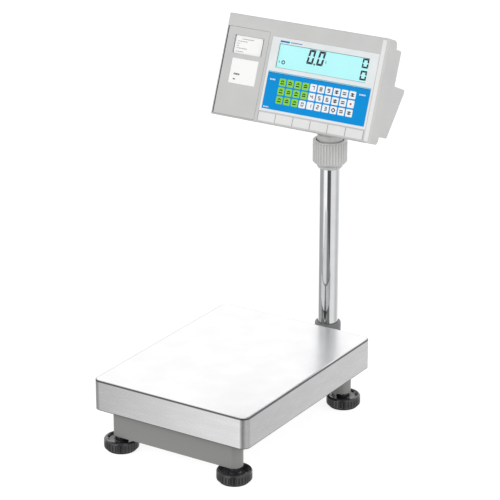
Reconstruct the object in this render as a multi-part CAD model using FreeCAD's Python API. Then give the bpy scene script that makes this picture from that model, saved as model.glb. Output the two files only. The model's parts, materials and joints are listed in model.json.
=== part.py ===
import FreeCAD, Part

import os
from math import atan2, cos, pi, radians, sin, tan

Vector = FreeCAD.Vector
X_AXIS = Vector(1, 0, 0)
Y_AXIS = Vector(0, 1, 0)
Z_AXIS = Vector(0, 0, 1)

# Bench weighing scale in millimetres. The origin is the centre of the pan's top face.
# +X is the user's right, +Y points to the rear and +Z is up.

# ---------------------------------------------------------------- driving dimensions
# Weighing pan: a folded tray, open below.
PAN_WIDTH = 300.0
PAN_DEPTH = 400.0
PAN_SKIRT = 53.6
PAN_SHEET = 1.2
PAN_CORNER_R = 14.0
PAN_EDGE_R = 2.6

# Heights below the pan's top face.
FLOOR = -126.1
FRAME_BOTTOM = -99.6
BEAM_TOP = -50.0

# Lower frame: two closed hollow cross beams joined by a channel.
BEAM_HALF_WIDTH = 125.0
BEAM_OUTER_Y = 187.3
BEAM_DEPTH = 30.4
BEAM_CORNER_R = 15.0
BEAM_WALL = 2.5
SPINE_HALF_WIDTH = 45.0
SPINE_TOP = -61.2
SPINE_PLATE = 5.0
SPINE_FLANGE_BOTTOM = -92.0
SPINE_FLANGE = 3.0

# Column bracket's bolts in the rear beam.
BRACKET_BOLT_X = 39.0
BRACKET_BOLT_Z = (-89.0, -66.0)
BRACKET_BOLT_R = 4.0
BRACKET_PLATE = 5.0
BRACKET_HALF_WIDTH = 50.0

# Levelling feet.
FOOT_X = 111.5
FOOT_Y = 174.0
KNOB_R = 29.4
STUD_R = 5.0
THREAD_CLEARANCE = 0.06
KNOB_FLUTES = 34
KNOB_FLUTE_R = 1.7

# Stack from the pan down to the load cell.
PAD_THICKNESS = 4.0
UPPER_PLATE = 4.0
UPPER_FLANGE = 12.0
UPPER_SHEET = 3.0
RAIL_HALF_LENGTH = 118.0
RAIL_NEAR_Y = 135.0
RAIL_FAR_Y = 171.0
BACKBONE_HALF_WIDTH = 32.0
PAD_X = 102.0
PAD_Y = 153.0
PAD_R = 12.0
TOP_SPACER = 6.0
CELL_HEIGHT = 36.0
CELL_WIDTH = 40.0
CELL_LENGTH = 150.0
CELL_BOLT_R = 4.0
STOP_GAP = 0.6
STOP_X = 80.0
STOP_Y = 163.5
STOP_R = 4.0
STOP_NUT = 13.0
STOP_NUT_HEIGHT = 6.5
BOLT_FIT = 0.05

# Column.
COLUMN_Y = 308.0
TUBE_R = 18.0
TUBE_WALL = 1.5
TUBE_BOTTOM = -96.0
TUBE_TOP = 272.0
SOCKET_R = 23.4
COLLAR_BOTTOM = -58.0
COLLAR_TOP = -40.0
ARM_HALF_WIDTH = 28.0
ARM_BOTTOM = -97.0
ARM_TOP = -62.0
ARM_WALL = 3.0
LEAD_R = 2.5
LEAD_HOLE_R = 6.0
LEAD_HEIGHT = -79.5
LEAD_DROP_Y = 95.0
LEAD_TURN_R = 14.0
SOCKET_SCREW_Z = (-70.0, -88.0)
SOCKET_SCREW_R = 3.0

# Bubble level on top of the bracket's arm.
LEVEL_Y = 240.0
LEVEL_R = 11.0
LEVEL_SCREW_X = 14.5
LEVEL_SCREW_R = 1.25

# Clamp nut at the top of the column.
NUT_R = 30.4
NUT_NECK_R = 22.6
NUT_BOTTOM = 250.5
NUT_STEP = 257.0
NUT_SHOULDER = 262.7
NUT_TOP = 302.0
NUT_FLUTES = 36
NUT_FLUTE_R = 1.8
NUT_NECK_FLUTE_R = 1.2
FLUTE_PROUD = 0.3
BUSH_FLANGE_R = 20.8
BUSH_TOP = 284.0
NECK_R = 14.0
NECK_SHOULDER_R = 22.8
NECK_SHOULDER_TOP = 316.0
NECK_BORE_TOP = 328.0
RUNNING_FIT = 0.05

# Indicator head. It is built upright in its own frame, with X across from the middle, Y into
# the head from its face and Z up its face, and is then leaned back and lifted into place.
HEAD_WIDTH = 318.0
HEAD_HEIGHT = 180.0
HEAD_LEAN = 20.93
HEAD_FOOT = Vector(-42.0, 234.3, 334.4)
HEAD_WALL = 2.5
FRONT_DEPTH_TOP = 36.6
FRONT_DEPTH_BOTTOM = 34.6
REAR_DEPTH = 60.0
REAR_TOP = 165.5
REAR_BOTTOM = 13.8
REAR_EDGE_R = 4.0
COVER_TOP = 104.5
COVER_BOTTOM = 14.3
COVER_DEPTH = 102.2
REAR_HALF_WIDTH = 156.5
COVER_HALF_WIDTH = 155.0
TILT_PIVOT_Z = 338.0

# Openings and fields on the face, as (left, right, bottom, top).
DOOR_FIELD = (-155.5, -70.0, 3.0, 157.0)
DOOR_THICKNESS = 3.0
DOOR_PIVOT = (-152.0, 3.5)
EXIT_WINDOW = (-139.0, -79.5, 111.5, 143.5)
SPEC_FIELD = (-135.5, -82.0, 59.0, 103.0)
OVERLAY_FIELD = (-63.5, 148.5, 21.5, 151.5)
KEY_FIELD = (-58.8, 145.0, 26.0, 90.0)
DISPLAY_FIELD = (-47.0, 132.0, 99.0, 141.0)
OVERLAY_RECESS = 0.5
KEY_RECESS = 1.3
KEY_SIZE = 13.0
KEY_EMBOSS = 0.2
KEY_PITCH_X = 15.45
KEY_PITCH_Z = 15.55
KEY_FIRST_X = -27.0
KEY_TOP_ROW_Z = 75.3
KEY_COLUMNS = 10
KEY_ROWS = 3
TAB_COUNT = 6
TAB_LEFT = -62.7
TAB_RIGHT = 146.5
TAB_BOTTOM = 3.6
TAB_TOP = 19.6
TAB_GROOVE = 0.8
TAB_GROOVE_DEPTH = 0.5

# Sockets and rocker switch in the back wall, as (left, right, bottom, top).
INLET_FIELD = (-52.0, -38.0, 122.0, 136.0)
SERIAL_FIELD = (-14.0, 17.0, 122.0, 135.0)
SWITCH_FIELD = (96.0, 118.0, 122.0, 136.0)
SWITCH_PIVOT_DEPTH = REAR_DEPTH - 4.5
SWITCH_PIN_R = 1.2
SWITCH_PIN_REACH = 8.0
SWITCH_TIP = 8.0

# Screws in the head, as (x, up).
SHELL_SCREWS = [(-120.0, 161.0), (0.0, 161.0), (148.0, 161.0), (-62.0, 20.5), (0.0, 20.5), (149.0, 20.5)]
BOARD_POSTS = [(-53.0, 33.0), (146.5, 33.0), (-53.0, 147.0), (146.5, 147.0)]
COVER_SCREWS = [(-148.0, 96.5), (148.0, 96.5), (-148.0, 36.0), (148.0, 36.0)]
SHELL_SCREW_R = 1.5
BOARD_DEPTH = 16.0
SCREW_SEAT_DEPTH = 44.0

# Printer inside the left of the head.
ROLL_CENTRE = (30.0, 62.0)
ROLL_R = 21.0
ROLL_CORE_R = 8.0
SPINDLE_FIT = 0.02
PLATEN_CENTRE = (12.0, 120.0)
PLATEN_R = 6.0
PLATEN_SHAFT_R = 2.5
DOOR_PIN_R = 1.2
CHEEK_LEFT = -149.0
CHEEK_RIGHT = -75.0
CHEEK = 3.0


# ---------------------------------------------------------------- basic shapes
def box(x0, x1, y0, y1, z0, z1):
    """Block between two values on each axis."""
    return Part.makeBox(x1 - x0, y1 - y0, z1 - z0, Vector(x0, y0, z0))


def rod_z(radius, z0, z1, x=0.0, y=0.0):
    return Part.makeCylinder(radius, z1 - z0, Vector(x, y, z0), Z_AXIS)


def rod_y(radius, y0, y1, x=0.0, z=0.0):
    return Part.makeCylinder(radius, y1 - y0, Vector(x, y0, z), Y_AXIS)


def rod_x(radius, x0, x1, y=0.0, z=0.0):
    return Part.makeCylinder(radius, x1 - x0, Vector(x0, y, z), X_AXIS)


def tube_z(outer, inner, z0, z1, x=0.0, y=0.0):
    return rod_z(outer, z0, z1, x, y).cut(rod_z(inner, z0 - 1, z1 + 1, x, y))


def turned(profile, x=0.0, y=0.0):
    """Solid of revolution about a vertical line, from (radius, height) points."""
    corners = [Vector(r, 0, z) for r, z in profile]
    face = Part.Face(Part.makePolygon(corners + corners[:1]))
    solid = face.revolve(Vector(0, 0, 0), Z_AXIS, 360)
    solid.translate(Vector(x, y, 0))
    return solid


def side_prism(points, x0, x1):
    """Prism along X over a (y, z) outline."""
    corners = [Vector(x0, y, z) for y, z in points]
    face = Part.Face(Part.makePolygon(corners + corners[:1]))
    return face.extrude(Vector(x1 - x0, 0, 0))


def sheet_outline(route, thickness):
    """Closed outline of a thin sheet that follows a route of points, with mitred corners."""
    near_side = []
    far_side = []
    for k, (y, z) in enumerate(route):
        before = route[max(k - 1, 0)]
        after = route[min(k + 1, len(route) - 1)]
        turn_in = atan2(z - before[1], y - before[0]) if k else atan2(after[1] - z, after[0] - y)
        turn_out = atan2(after[1] - z, after[0] - y) if k < len(route) - 1 else turn_in
        half_turn = ((turn_out - turn_in + pi) % (2 * pi) - pi) / 2
        normal = turn_in + half_turn + pi / 2
        reach = thickness / 2 / cos(half_turn)
        near_side.append((y + reach * cos(normal), z + reach * sin(normal)))
        far_side.append((y - reach * cos(normal), z - reach * sin(normal)))
    return near_side + far_side[::-1]


def hexagon_z(across_flats, z0, z1, x, y):
    """Hexagonal nut or bolt head standing on a horizontal face."""
    corner_r = across_flats / 2 / cos(pi / 6)
    corners = [Vector(x + corner_r * cos(k * pi / 3), y + corner_r * sin(k * pi / 3), z0) for k in range(7)]
    return Part.Face(Part.makePolygon(corners)).extrude(Vector(0, 0, z1 - z0))


def hexagon_y(across_flats, y0, y1, x, z):
    """Hexagonal post that points backwards."""
    post = hexagon_z(across_flats, 0.0, y1 - y0, 0.0, 0.0)
    post.rotate(Vector(0, 0, 0), X_AXIS, -90)
    post.translate(Vector(x, y0, z))
    return post


def runs_along(edge, direction):
    return (edge.Curve.TypeId == "Part::GeomLine"
            and abs(edge.tangentAt(edge.FirstParameter).dot(direction)) > 0.999)


def straight_edges(shape, direction):
    """The straight edges of a shape that run along a direction."""
    return [edge for edge in shape.Edges if runs_along(edge, direction)]


def middle_of(field):
    """Middle of a (left, right, bottom, top) field."""
    left, right, bottom, top = field
    return (left + right) / 2, (bottom + top) / 2


def rounded_block(x0, x1, y0, y1, z0, z1, radius):
    """Block whose four vertical edges are rounded."""
    block = box(x0, x1, y0, y1, z0, z1)
    return block.makeFillet(radius, straight_edges(block, Z_AXIS))


def fuse_all(shapes):
    first = shapes[0]
    return first.multiFuse(shapes[1:]).removeSplitter() if len(shapes) > 1 else first


def cut_all(shape, tools):
    return shape.cut(Part.makeCompound(tools))


def four_corners(x, y):
    return [(side * x, end * y) for end in (-1, 1) for side in (-1, 1)]


def export(name, shape):
    shape.exportStep(f"parts/{name}.step")


# ---------------------------------------------------------------- weighing platform
UPPER_TOP = -PAN_SHEET - PAD_THICKNESS
UPPER_BOTTOM = UPPER_TOP - UPPER_PLATE
CELL_TOP = UPPER_BOTTOM - TOP_SPACER
CELL_BOTTOM = CELL_TOP - CELL_HEIGHT
CELL_HALF_LENGTH = CELL_LENGTH / 2
CELL_END_BOLTS = (52.0, 66.0)
CELL_BOLT_X = 12.0


def pan_block(inset, z_bottom):
    """Pan's outline as a block, moved inwards by the inset, with rounded corners and top edge."""
    half_x = PAN_WIDTH / 2 - inset
    half_y = PAN_DEPTH / 2 - inset
    block = rounded_block(-half_x, half_x, -half_y, half_y, z_bottom, -inset, PAN_CORNER_R - inset)
    top_face = max(block.Faces, key=lambda face: face.CenterOfMass.z)
    return block.makeFillet(PAN_EDGE_R - inset, top_face.Edges)


def weighing_pan():
    return pan_block(0.0, -PAN_SKIRT).cut(pan_block(PAN_SHEET, -PAN_SKIRT - 5))


def pan_support_pads():
    pads = [rod_z(PAD_R, UPPER_TOP, -PAN_SHEET, x, y) for x, y in four_corners(PAD_X, PAD_Y)]
    return Part.makeCompound(pads)


def end_bolt_places(end):
    """Four bolt places on one end of the load cell: -1 is the front, 1 the rear."""
    return [(side * CELL_BOLT_X, end * y) for y in CELL_END_BOLTS for side in (-1, 1)]


def upper_frame():
    """Backbone over the load cell and two cross rails under the pads, stiffened by flanges."""
    flange_bottom = UPPER_BOTTOM - UPPER_FLANGE
    backbone = box(-BACKBONE_HALF_WIDTH, BACKBONE_HALF_WIDTH, -RAIL_FAR_Y, RAIL_FAR_Y, UPPER_BOTTOM, UPPER_TOP)
    solids = [backbone]
    for side in (-1, 1):
        x0, x1 = sorted((side * BACKBONE_HALF_WIDTH, side * (BACKBONE_HALF_WIDTH - UPPER_SHEET)))
        solids.append(box(x0, x1, -RAIL_FAR_Y, RAIL_FAR_Y, flange_bottom, UPPER_TOP))
    for end in (-1, 1):
        y0, y1 = sorted((end * RAIL_NEAR_Y, end * RAIL_FAR_Y))
        rail = rounded_block(-RAIL_HALF_LENGTH, RAIL_HALF_LENGTH, y0, y1, UPPER_BOTTOM, UPPER_TOP, 8.0)
        y0, y1 = sorted((end * (RAIL_FAR_Y - UPPER_SHEET), end * RAIL_FAR_Y))
        edge = box(-RAIL_HALF_LENGTH + 8.0, RAIL_HALF_LENGTH - 8.0, y0, y1, flange_bottom, UPPER_TOP)
        solids += [rail, edge]
    holes = []
    for x, y in end_bolt_places(-1):
        holes.append(rod_z(CELL_BOLT_R + BOLT_FIT, UPPER_BOTTOM - 1, UPPER_TOP + 1, x, y))
        holes.append(Part.makeCone(CELL_BOLT_R, 2 * CELL_BOLT_R, UPPER_PLATE, Vector(x, y, UPPER_BOTTOM)))
    return cut_all(fuse_all(solids), holes)


def cell_top_spacer():
    half = CELL_WIDTH / 2
    block = box(-half, half, -CELL_HALF_LENGTH, -43.0, CELL_TOP, UPPER_BOTTOM)
    return cut_all(block, [rod_z(CELL_BOLT_R + BOLT_FIT, CELL_TOP - 1, UPPER_BOTTOM + 1, x, y)
                           for x, y in end_bolt_places(-1)])


def cell_top_screws():
    """Countersunk screws, flush with the upper frame, with hexagon sockets."""
    depth = 14.0
    screws = []
    for x, y in end_bolt_places(-1):
        shank = rod_z(CELL_BOLT_R - BOLT_FIT, CELL_TOP - depth, UPPER_BOTTOM + 0.1, x, y)
        head = Part.makeCone(CELL_BOLT_R - BOLT_FIT, 2 * CELL_BOLT_R - 0.3, UPPER_PLATE - 0.2,
                             Vector(x, y, UPPER_BOTTOM + 0.1))
        drive = hexagon_z(4.0, UPPER_TOP - 2.5, UPPER_TOP + 1, x, y)
        screws.append(shank.fuse(head).cut(drive))
    return Part.makeCompound(screws)


def load_cell():
    """Single-point cell: an aluminium block with two cross bores joined by a slot."""
    half = CELL_WIDTH / 2
    bore_r = 12.5
    bore_y = 17.0
    slot = 7.0
    middle = (CELL_TOP + CELL_BOTTOM) / 2
    block = box(-half, half, -CELL_HALF_LENGTH, CELL_HALF_LENGTH, CELL_BOTTOM, CELL_TOP)
    tools = [rod_x(bore_r, -half - 1, half + 1, end * bore_y, middle) for end in (-1, 1)]
    tools.append(box(-half - 1, half + 1, -bore_y, bore_y, middle - slot / 2, middle + slot / 2))
    hole_depth = 15.0
    for x, y in end_bolt_places(-1):
        tools.append(rod_z(CELL_BOLT_R, CELL_TOP - hole_depth, CELL_TOP + 1, x, y))
    for x, y in end_bolt_places(1):
        tools.append(rod_z(CELL_BOLT_R, CELL_BOTTOM - 1, CELL_BOTTOM + hole_depth, x, y))
    return cut_all(block, tools)


def cell_base_spacer():
    half = CELL_WIDTH / 2
    block = box(-half, half, 43.0, CELL_HALF_LENGTH, SPINE_TOP, CELL_BOTTOM)
    return cut_all(block, [rod_z(CELL_BOLT_R + BOLT_FIT, SPINE_TOP - 1, CELL_BOTTOM + 1, x, y)
                           for x, y in end_bolt_places(1)])


def cell_base_bolts():
    """Socket-head bolts up through the spine and the spacer into the cell."""
    head_r = 6.5
    head = 8.0
    seat = SPINE_TOP - SPINE_PLATE
    bolts = []
    for x, y in end_bolt_places(1):
        shank = rod_z(CELL_BOLT_R - BOLT_FIT, seat, CELL_BOTTOM + 14.0, x, y)
        cap = rod_z(head_r, seat - head, seat, x, y).cut(hexagon_z(6.0, seat - head - 1, seat - 4.0, x, y))
        bolts.append(shank.fuse(cap))
    return Part.makeCompound(bolts)


# ---------------------------------------------------------------- lower frame and stops
FOOT_BUSH_R = 9.0
BOLT_BOSS_R = 7.0
BOLT_BOSS_LENGTH = 6.5
BEAM_EDGE_R = 1.5


def beam(end):
    """Closed hollow cross beam with rounded ends: end is -1 at the front, 1 at the rear."""
    near, far = sorted((end * (BEAM_OUTER_Y - BEAM_DEPTH), end * BEAM_OUTER_Y))
    outer = rounded_block(-BEAM_HALF_WIDTH, BEAM_HALF_WIDTH, near, far, FRAME_BOTTOM, BEAM_TOP, BEAM_CORNER_R)
    top_face = max(outer.Faces, key=lambda face: face.CenterOfMass.z)
    outer = outer.makeFillet(BEAM_EDGE_R, top_face.Edges)
    inner = rounded_block(-BEAM_HALF_WIDTH + BEAM_WALL, BEAM_HALF_WIDTH - BEAM_WALL, near + BEAM_WALL,
                          far - BEAM_WALL, FRAME_BOTTOM + BEAM_WALL, BEAM_TOP - BEAM_WALL,
                          BEAM_CORNER_R - BEAM_WALL)
    return outer.cut(inner)


def spine():
    """Channel between the beams that carries the load cell."""
    reach = BEAM_OUTER_Y - BEAM_DEPTH + 1.0
    plate = box(-SPINE_HALF_WIDTH, SPINE_HALF_WIDTH, -reach, reach, SPINE_TOP - SPINE_PLATE, SPINE_TOP)
    flanges = [box(min(side * SPINE_HALF_WIDTH, side * (SPINE_HALF_WIDTH - SPINE_FLANGE)),
                   max(side * SPINE_HALF_WIDTH, side * (SPINE_HALF_WIDTH - SPINE_FLANGE)),
                   -reach, reach, SPINE_FLANGE_BOTTOM, SPINE_TOP) for side in (-1, 1)]
    return fuse_all([plate] + flanges)


def bracket_bolt_places():
    return [(side * BRACKET_BOLT_X, z) for z in BRACKET_BOLT_Z for side in (-1, 1)]


def lower_frame():
    solids = [beam(-1), beam(1), spine()]
    for x, y in four_corners(FOOT_X, FOOT_Y):
        solids.append(rod_z(FOOT_BUSH_R, FRAME_BOTTOM + 1, BEAM_TOP - 1, x, y))
    boss_end = BEAM_OUTER_Y - BEAM_WALL - BOLT_BOSS_LENGTH
    for x, z in bracket_bolt_places():
        solids.append(rod_y(BOLT_BOSS_R, boss_end, BEAM_OUTER_Y - 1, x, z))
    holes = []
    for x, y in four_corners(FOOT_X, FOOT_Y):
        holes.append(rod_z(STUD_R + THREAD_CLEARANCE, FRAME_BOTTOM - 1, BEAM_TOP - BEAM_WALL - 0.5, x, y))
    for x, z in bracket_bolt_places():
        holes.append(rod_y(BRACKET_BOLT_R, boss_end - 1, BEAM_OUTER_Y + 1, x, z))
    for x, y in end_bolt_places(1):
        holes.append(rod_z(CELL_BOLT_R + BOLT_FIT, SPINE_TOP - SPINE_PLATE - 1, SPINE_TOP + 1, x, y))
    for x, y in four_corners(STOP_X, STOP_Y):
        holes.append(rod_z(STOP_R, BEAM_TOP - BEAM_WALL - 1, BEAM_TOP + 1, x, y))
    holes.append(rod_z(LEAD_HOLE_R, SPINE_TOP - SPINE_PLATE - 1, SPINE_TOP + 1, 0.0, LEAD_DROP_Y))
    holes.append(rod_y(LEAD_HOLE_R, BEAM_OUTER_Y - BEAM_DEPTH - 1, BEAM_OUTER_Y + 1, 0.0, LEAD_HEIGHT))
    return cut_all(fuse_all(solids), holes)


def overload_stops():
    """Studs with lock nuts that catch the upper frame when the scale is overloaded."""
    stops = []
    for x, y in four_corners(STOP_X, STOP_Y):
        stud = rod_z(STOP_R - BOLT_FIT, BEAM_TOP - 10, UPPER_BOTTOM - STOP_GAP, x, y)
        stops.append(stud.fuse(hexagon_z(STOP_NUT, BEAM_TOP, BEAM_TOP + STOP_NUT_HEIGHT, x, y)))
    return Part.makeCompound(stops)


# ---------------------------------------------------------------- levelling feet
FOOT_PAD_R = 25.5
FOOT_PAD_TOP = FLOOR + 3.2
FOOT_BOSS_R = 6.0
KNOB_BOTTOM = FLOOR + 3.6
KNOB_TOP = FLOOR + 24.3
FLUTE_TOP = FLOOR + 17.0
FLUTE_REACH = KNOB_R + 0.3
STUD_BOTTOM = FLOOR + 11.0
STUD_FIT = 0.02
FOOT_CORNERS = {
    "front_left": (-FOOT_X, -FOOT_Y),
    "front_right": (FOOT_X, -FOOT_Y),
    "rear_left": (-FOOT_X, FOOT_Y),
    "rear_right": (FOOT_X, FOOT_Y),
}


def foot_pad(x, y):
    """Rubber sole with a boss on which the hand wheel turns."""
    return turned([(0, FLOOR), (FOOT_PAD_R - 1, FLOOR), (FOOT_PAD_R, FLOOR + 1), (FOOT_PAD_R, FOOT_PAD_TOP),
                   (FOOT_BOSS_R, FOOT_PAD_TOP), (FOOT_BOSS_R, FLOOR + 9.0), (0, FLOOR + 9.0)], x, y)


def foot_knob(x, y):
    """Hand wheel with a fluted rim, a dished top and a hub."""
    wheel = turned([(0, KNOB_BOTTOM), (KNOB_R - 2.4, KNOB_BOTTOM), (KNOB_R - 0.6, KNOB_BOTTOM + 0.8),
                    (KNOB_R, KNOB_BOTTOM + 2.2), (KNOB_R, FLOOR + 18.2), (KNOB_R - 1.4, FLOOR + 20.2),
                    (KNOB_R - 3.6, FLOOR + 20.9), (KNOB_R - 5.8, FLOOR + 20.2), (KNOB_R - 9, FLOOR + 17.6),
                    (13.0, FLOOR + 16.8), (11.5, FLOOR + 18.0), (10.5, KNOB_TOP), (0, KNOB_TOP)], x, y)
    flutes = []
    for k in range(KNOB_FLUTES):
        angle = 2 * pi * k / KNOB_FLUTES
        flutes.append(rod_z(KNOB_FLUTE_R, KNOB_BOTTOM - 1, FLUTE_TOP, x + FLUTE_REACH * cos(angle),
                            y + FLUTE_REACH * sin(angle)))
    pad_socket = rod_z(FOOT_BOSS_R + THREAD_CLEARANCE, KNOB_BOTTOM - 1, FLOOR + 9.5, x, y)
    stud_socket = rod_z(STUD_R + STUD_FIT, STUD_BOTTOM, KNOB_TOP + 1, x, y)
    return cut_all(wheel, flutes + [pad_socket, stud_socket])


def foot_stud(x, y):
    top = FRAME_BOTTOM + 36.0
    bar = rod_z(STUD_R, STUD_BOTTOM, top, x, y)
    upper_rim = [edge for edge in bar.Edges if all(vertex.Z > top - 1 for vertex in edge.Vertexes)]
    return bar.makeChamfer(1.0, upper_rim)


# ---------------------------------------------------------------- column and its bracket
def column_bracket():
    """Plate, box arm and socket welded into one piece."""
    plate_front = BEAM_OUTER_Y
    plate_rear = BEAM_OUTER_Y + BRACKET_PLATE
    plate = box(-BRACKET_HALF_WIDTH, BRACKET_HALF_WIDTH, plate_front, plate_rear, -98.0, -56.0)
    arm = box(-ARM_HALF_WIDTH, ARM_HALF_WIDTH, plate_rear - 0.5, COLUMN_Y, ARM_BOTTOM, ARM_TOP)
    arm = arm.makeFillet(5.0, straight_edges(arm, Y_AXIS))
    inner_half = ARM_HALF_WIDTH - ARM_WALL
    arm_hollow = box(-inner_half, inner_half, plate_rear, COLUMN_Y - SOCKET_R - 1,
                     ARM_BOTTOM + ARM_WALL, ARM_TOP - ARM_WALL)
    socket = rod_z(SOCKET_R, FRAME_BOTTOM, COLLAR_BOTTOM, 0.0, COLUMN_Y)
    socket_bore = rod_z(TUBE_R + BOLT_FIT, TUBE_BOTTOM, COLLAR_BOTTOM + 1, 0.0, COLUMN_Y)
    holes = [arm_hollow, socket_bore]
    holes.append(rod_y(LEAD_HOLE_R, plate_front - 1, COLUMN_Y, 0.0, LEAD_HEIGHT))
    for x, z in bracket_bolt_places():
        holes.append(rod_y(BRACKET_BOLT_R + BOLT_FIT, plate_front - 1, plate_rear + 1, x, z))
    for z in SOCKET_SCREW_Z:
        holes.append(rod_y(SOCKET_SCREW_R, COLUMN_Y, COLUMN_Y + SOCKET_R + 1, 0.0, z))
    for side in (-1, 1):
        holes.append(rod_z(LEVEL_SCREW_R, ARM_TOP - 4, ARM_TOP + 1, side * LEVEL_SCREW_X, LEVEL_Y))
    return cut_all(fuse_all([plate, arm, socket]), holes)


def bracket_bolts():
    """Hexagon bolts that hold the bracket on the rear beam."""
    seat = BEAM_OUTER_Y + BRACKET_PLATE
    head = 5.3
    bolts = []
    for x, z in bracket_bolt_places():
        shank = rod_y(BRACKET_BOLT_R - BOLT_FIT, BEAM_OUTER_Y - 10, seat, x, z)
        bolts.append(shank.fuse(hexagon_y(13.0, seat, seat + head, x, z)))
    return Part.makeCompound(bolts)


def column_screws():
    """Set screws that bite on the column in its socket."""
    screws = []
    for z in SOCKET_SCREW_Z:
        shank = rod_y(SOCKET_SCREW_R - BOLT_FIT, COLUMN_Y + TUBE_R + 0.1, COLUMN_Y + SOCKET_R + 1, 0.0, z)
        cap = rod_y(5.0, COLUMN_Y + SOCKET_R + 0.1, COLUMN_Y + SOCKET_R + 6.0, 0.0, z)
        drive = rod_y(2.5, COLUMN_Y + SOCKET_R + 3.0, COLUMN_Y + SOCKET_R + 7.0, 0.0, z)
        screws.append(shank.fuse(cap).cut(drive))
    return Part.makeCompound(screws)


def column_collar():
    """Trim sleeve at the foot of the column, with a rounded lip."""
    inner = TUBE_R + BOLT_FIT
    outer = SOCKET_R
    profile = [(inner, COLLAR_BOTTOM), (outer, COLLAR_BOTTOM), (outer, COLLAR_TOP - 2.2),
               (outer - 0.7, COLLAR_TOP - 0.7), (outer - 2.2, COLLAR_TOP), (inner, COLLAR_TOP)]
    return turned(profile, 0.0, COLUMN_Y)


def column_tube():
    tube = tube_z(TUBE_R, TUBE_R - TUBE_WALL, TUBE_BOTTOM, TUBE_TOP, 0.0, COLUMN_Y)
    return tube.cut(rod_y(LEAD_HOLE_R, COLUMN_Y - TUBE_R - 1, COLUMN_Y, 0.0, LEAD_HEIGHT))


def column_top_bush():
    """Bush pressed into the column's top, whose threaded flange takes the clamp nut."""
    plug_r = TUBE_R - TUBE_WALL - BOLT_FIT
    bore_r = NECK_R + RUNNING_FIT
    return turned([(bore_r, 240.0), (plug_r, 240.0), (plug_r, TUBE_TOP), (BUSH_FLANGE_R, TUBE_TOP),
                   (BUSH_FLANGE_R, BUSH_TOP), (bore_r, BUSH_TOP)], 0.0, COLUMN_Y)


RING_BOTTOM = BUSH_TOP + 0.3
RING_TOP = RING_BOTTOM + 4.0
LIP_TOP = RING_TOP + 3.4


def clamp_ring():
    """Split compression ring between the bush and the nut's lip."""
    ring = turned([(NECK_R + 0.3, RING_BOTTOM), (BUSH_FLANGE_R - 0.4, RING_BOTTOM),
                   (BUSH_FLANGE_R - 0.4, RING_TOP - 1), (BUSH_FLANGE_R - 1.4, RING_TOP),
                   (NECK_R + 0.3, RING_TOP)], 0.0, COLUMN_Y)
    return ring.cut(box(-1.0, 1.0, COLUMN_Y, COLUMN_Y + NUT_R, RING_BOTTOM - 1, RING_TOP + 1))


def column_nut():
    """Fluted clamp nut with a stepped neck below and a hollow top."""
    thread_r = BUSH_FLANGE_R + 0.08
    clear_r = TUBE_R + 0.3
    cup_r = NECK_SHOULDER_R + 1.4
    lip_r = NECK_R + 1.2
    outside = [(clear_r, NUT_BOTTOM), (NUT_NECK_R - 2.4, NUT_BOTTOM), (NUT_NECK_R, NUT_BOTTOM + 2.8),
               (NUT_NECK_R, NUT_STEP), (NUT_NECK_R + 3, NUT_STEP + 1.0), (NUT_R, NUT_SHOULDER),
               (NUT_R, NUT_TOP - 1.2), (NUT_R - 1.2, NUT_TOP)]
    inside = [(cup_r + 0.8, NUT_TOP), (cup_r, NUT_TOP - 0.8), (cup_r, LIP_TOP), (lip_r, LIP_TOP),
              (lip_r, RING_TOP + 0.3), (thread_r, RING_TOP + 0.3), (thread_r, 266.0), (clear_r, 264.0)]
    bands = ((NUT_R, NUT_FLUTE_R, NUT_STEP, NUT_TOP - 2.2),
             (NUT_NECK_R, NUT_NECK_FLUTE_R, NUT_BOTTOM - 1, NUT_STEP + 1.5))
    flutes = []
    for radius, flute_r, z0, z1 in bands:
        reach = radius + FLUTE_PROUD * flute_r
        for k in range(NUT_FLUTES):
            angle = 2 * pi * k / NUT_FLUTES
            flutes.append(rod_z(flute_r, z0, z1, reach * cos(angle), COLUMN_Y + reach * sin(angle)))
    return cut_all(turned(outside + inside, 0.0, COLUMN_Y), flutes)


def load_cell_lead():
    """Lead from the cell under the spine, along the arm and up the column, turning on arcs."""
    cell_middle = (CELL_TOP + CELL_BOTTOM) / 2
    route = [Vector(0, CELL_HALF_LENGTH, cell_middle), Vector(0, LEAD_DROP_Y, cell_middle),
             Vector(0, LEAD_DROP_Y, LEAD_HEIGHT), Vector(0, COLUMN_Y, LEAD_HEIGHT),
             Vector(0, COLUMN_Y, NECK_BORE_TOP - 8.0)]
    edges = []
    start = route[0]
    for before, corner, after in zip(route, route[1:], route[2:]):
        into = (corner - before).normalize()
        out = (after - corner).normalize()
        arc_start = corner - into * LEAD_TURN_R
        arc_end = corner + out * LEAD_TURN_R
        arc_middle = corner + (out - into) * LEAD_TURN_R * (1 - sin(pi / 4))
        edges.append(Part.LineSegment(start, arc_start).toShape())
        edges.append(Part.Arc(arc_start, arc_middle, arc_end).toShape())
        start = arc_end
    edges.append(Part.LineSegment(start, route[-1]).toShape())
    path = Part.Wire(edges)
    section = Part.Wire(Part.makeCircle(LEAD_R, route[0], Y_AXIS))
    return path.makePipeShell([section], True, True)


def bubble_level_housing():
    """Cup with two ears, one screw hole in each."""
    cup = rod_z(LEVEL_R, ARM_TOP, ARM_TOP + 8.0, 0.0, LEVEL_Y)
    ears = rounded_block(-19.0, 19.0, LEVEL_Y - 4.5, LEVEL_Y + 4.5, ARM_TOP, ARM_TOP + 2.0, 4.0)
    holes = [rod_z(LEVEL_SCREW_R + 0.2, ARM_TOP - 1, ARM_TOP + 3, side * LEVEL_SCREW_X, LEVEL_Y)
             for side in (-1, 1)]
    pocket = rod_z(LEVEL_R - 1.8, ARM_TOP + 1.5, ARM_TOP + 9, 0.0, LEVEL_Y)
    return cut_all(cup.fuse(ears), holes + [pocket])


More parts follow.
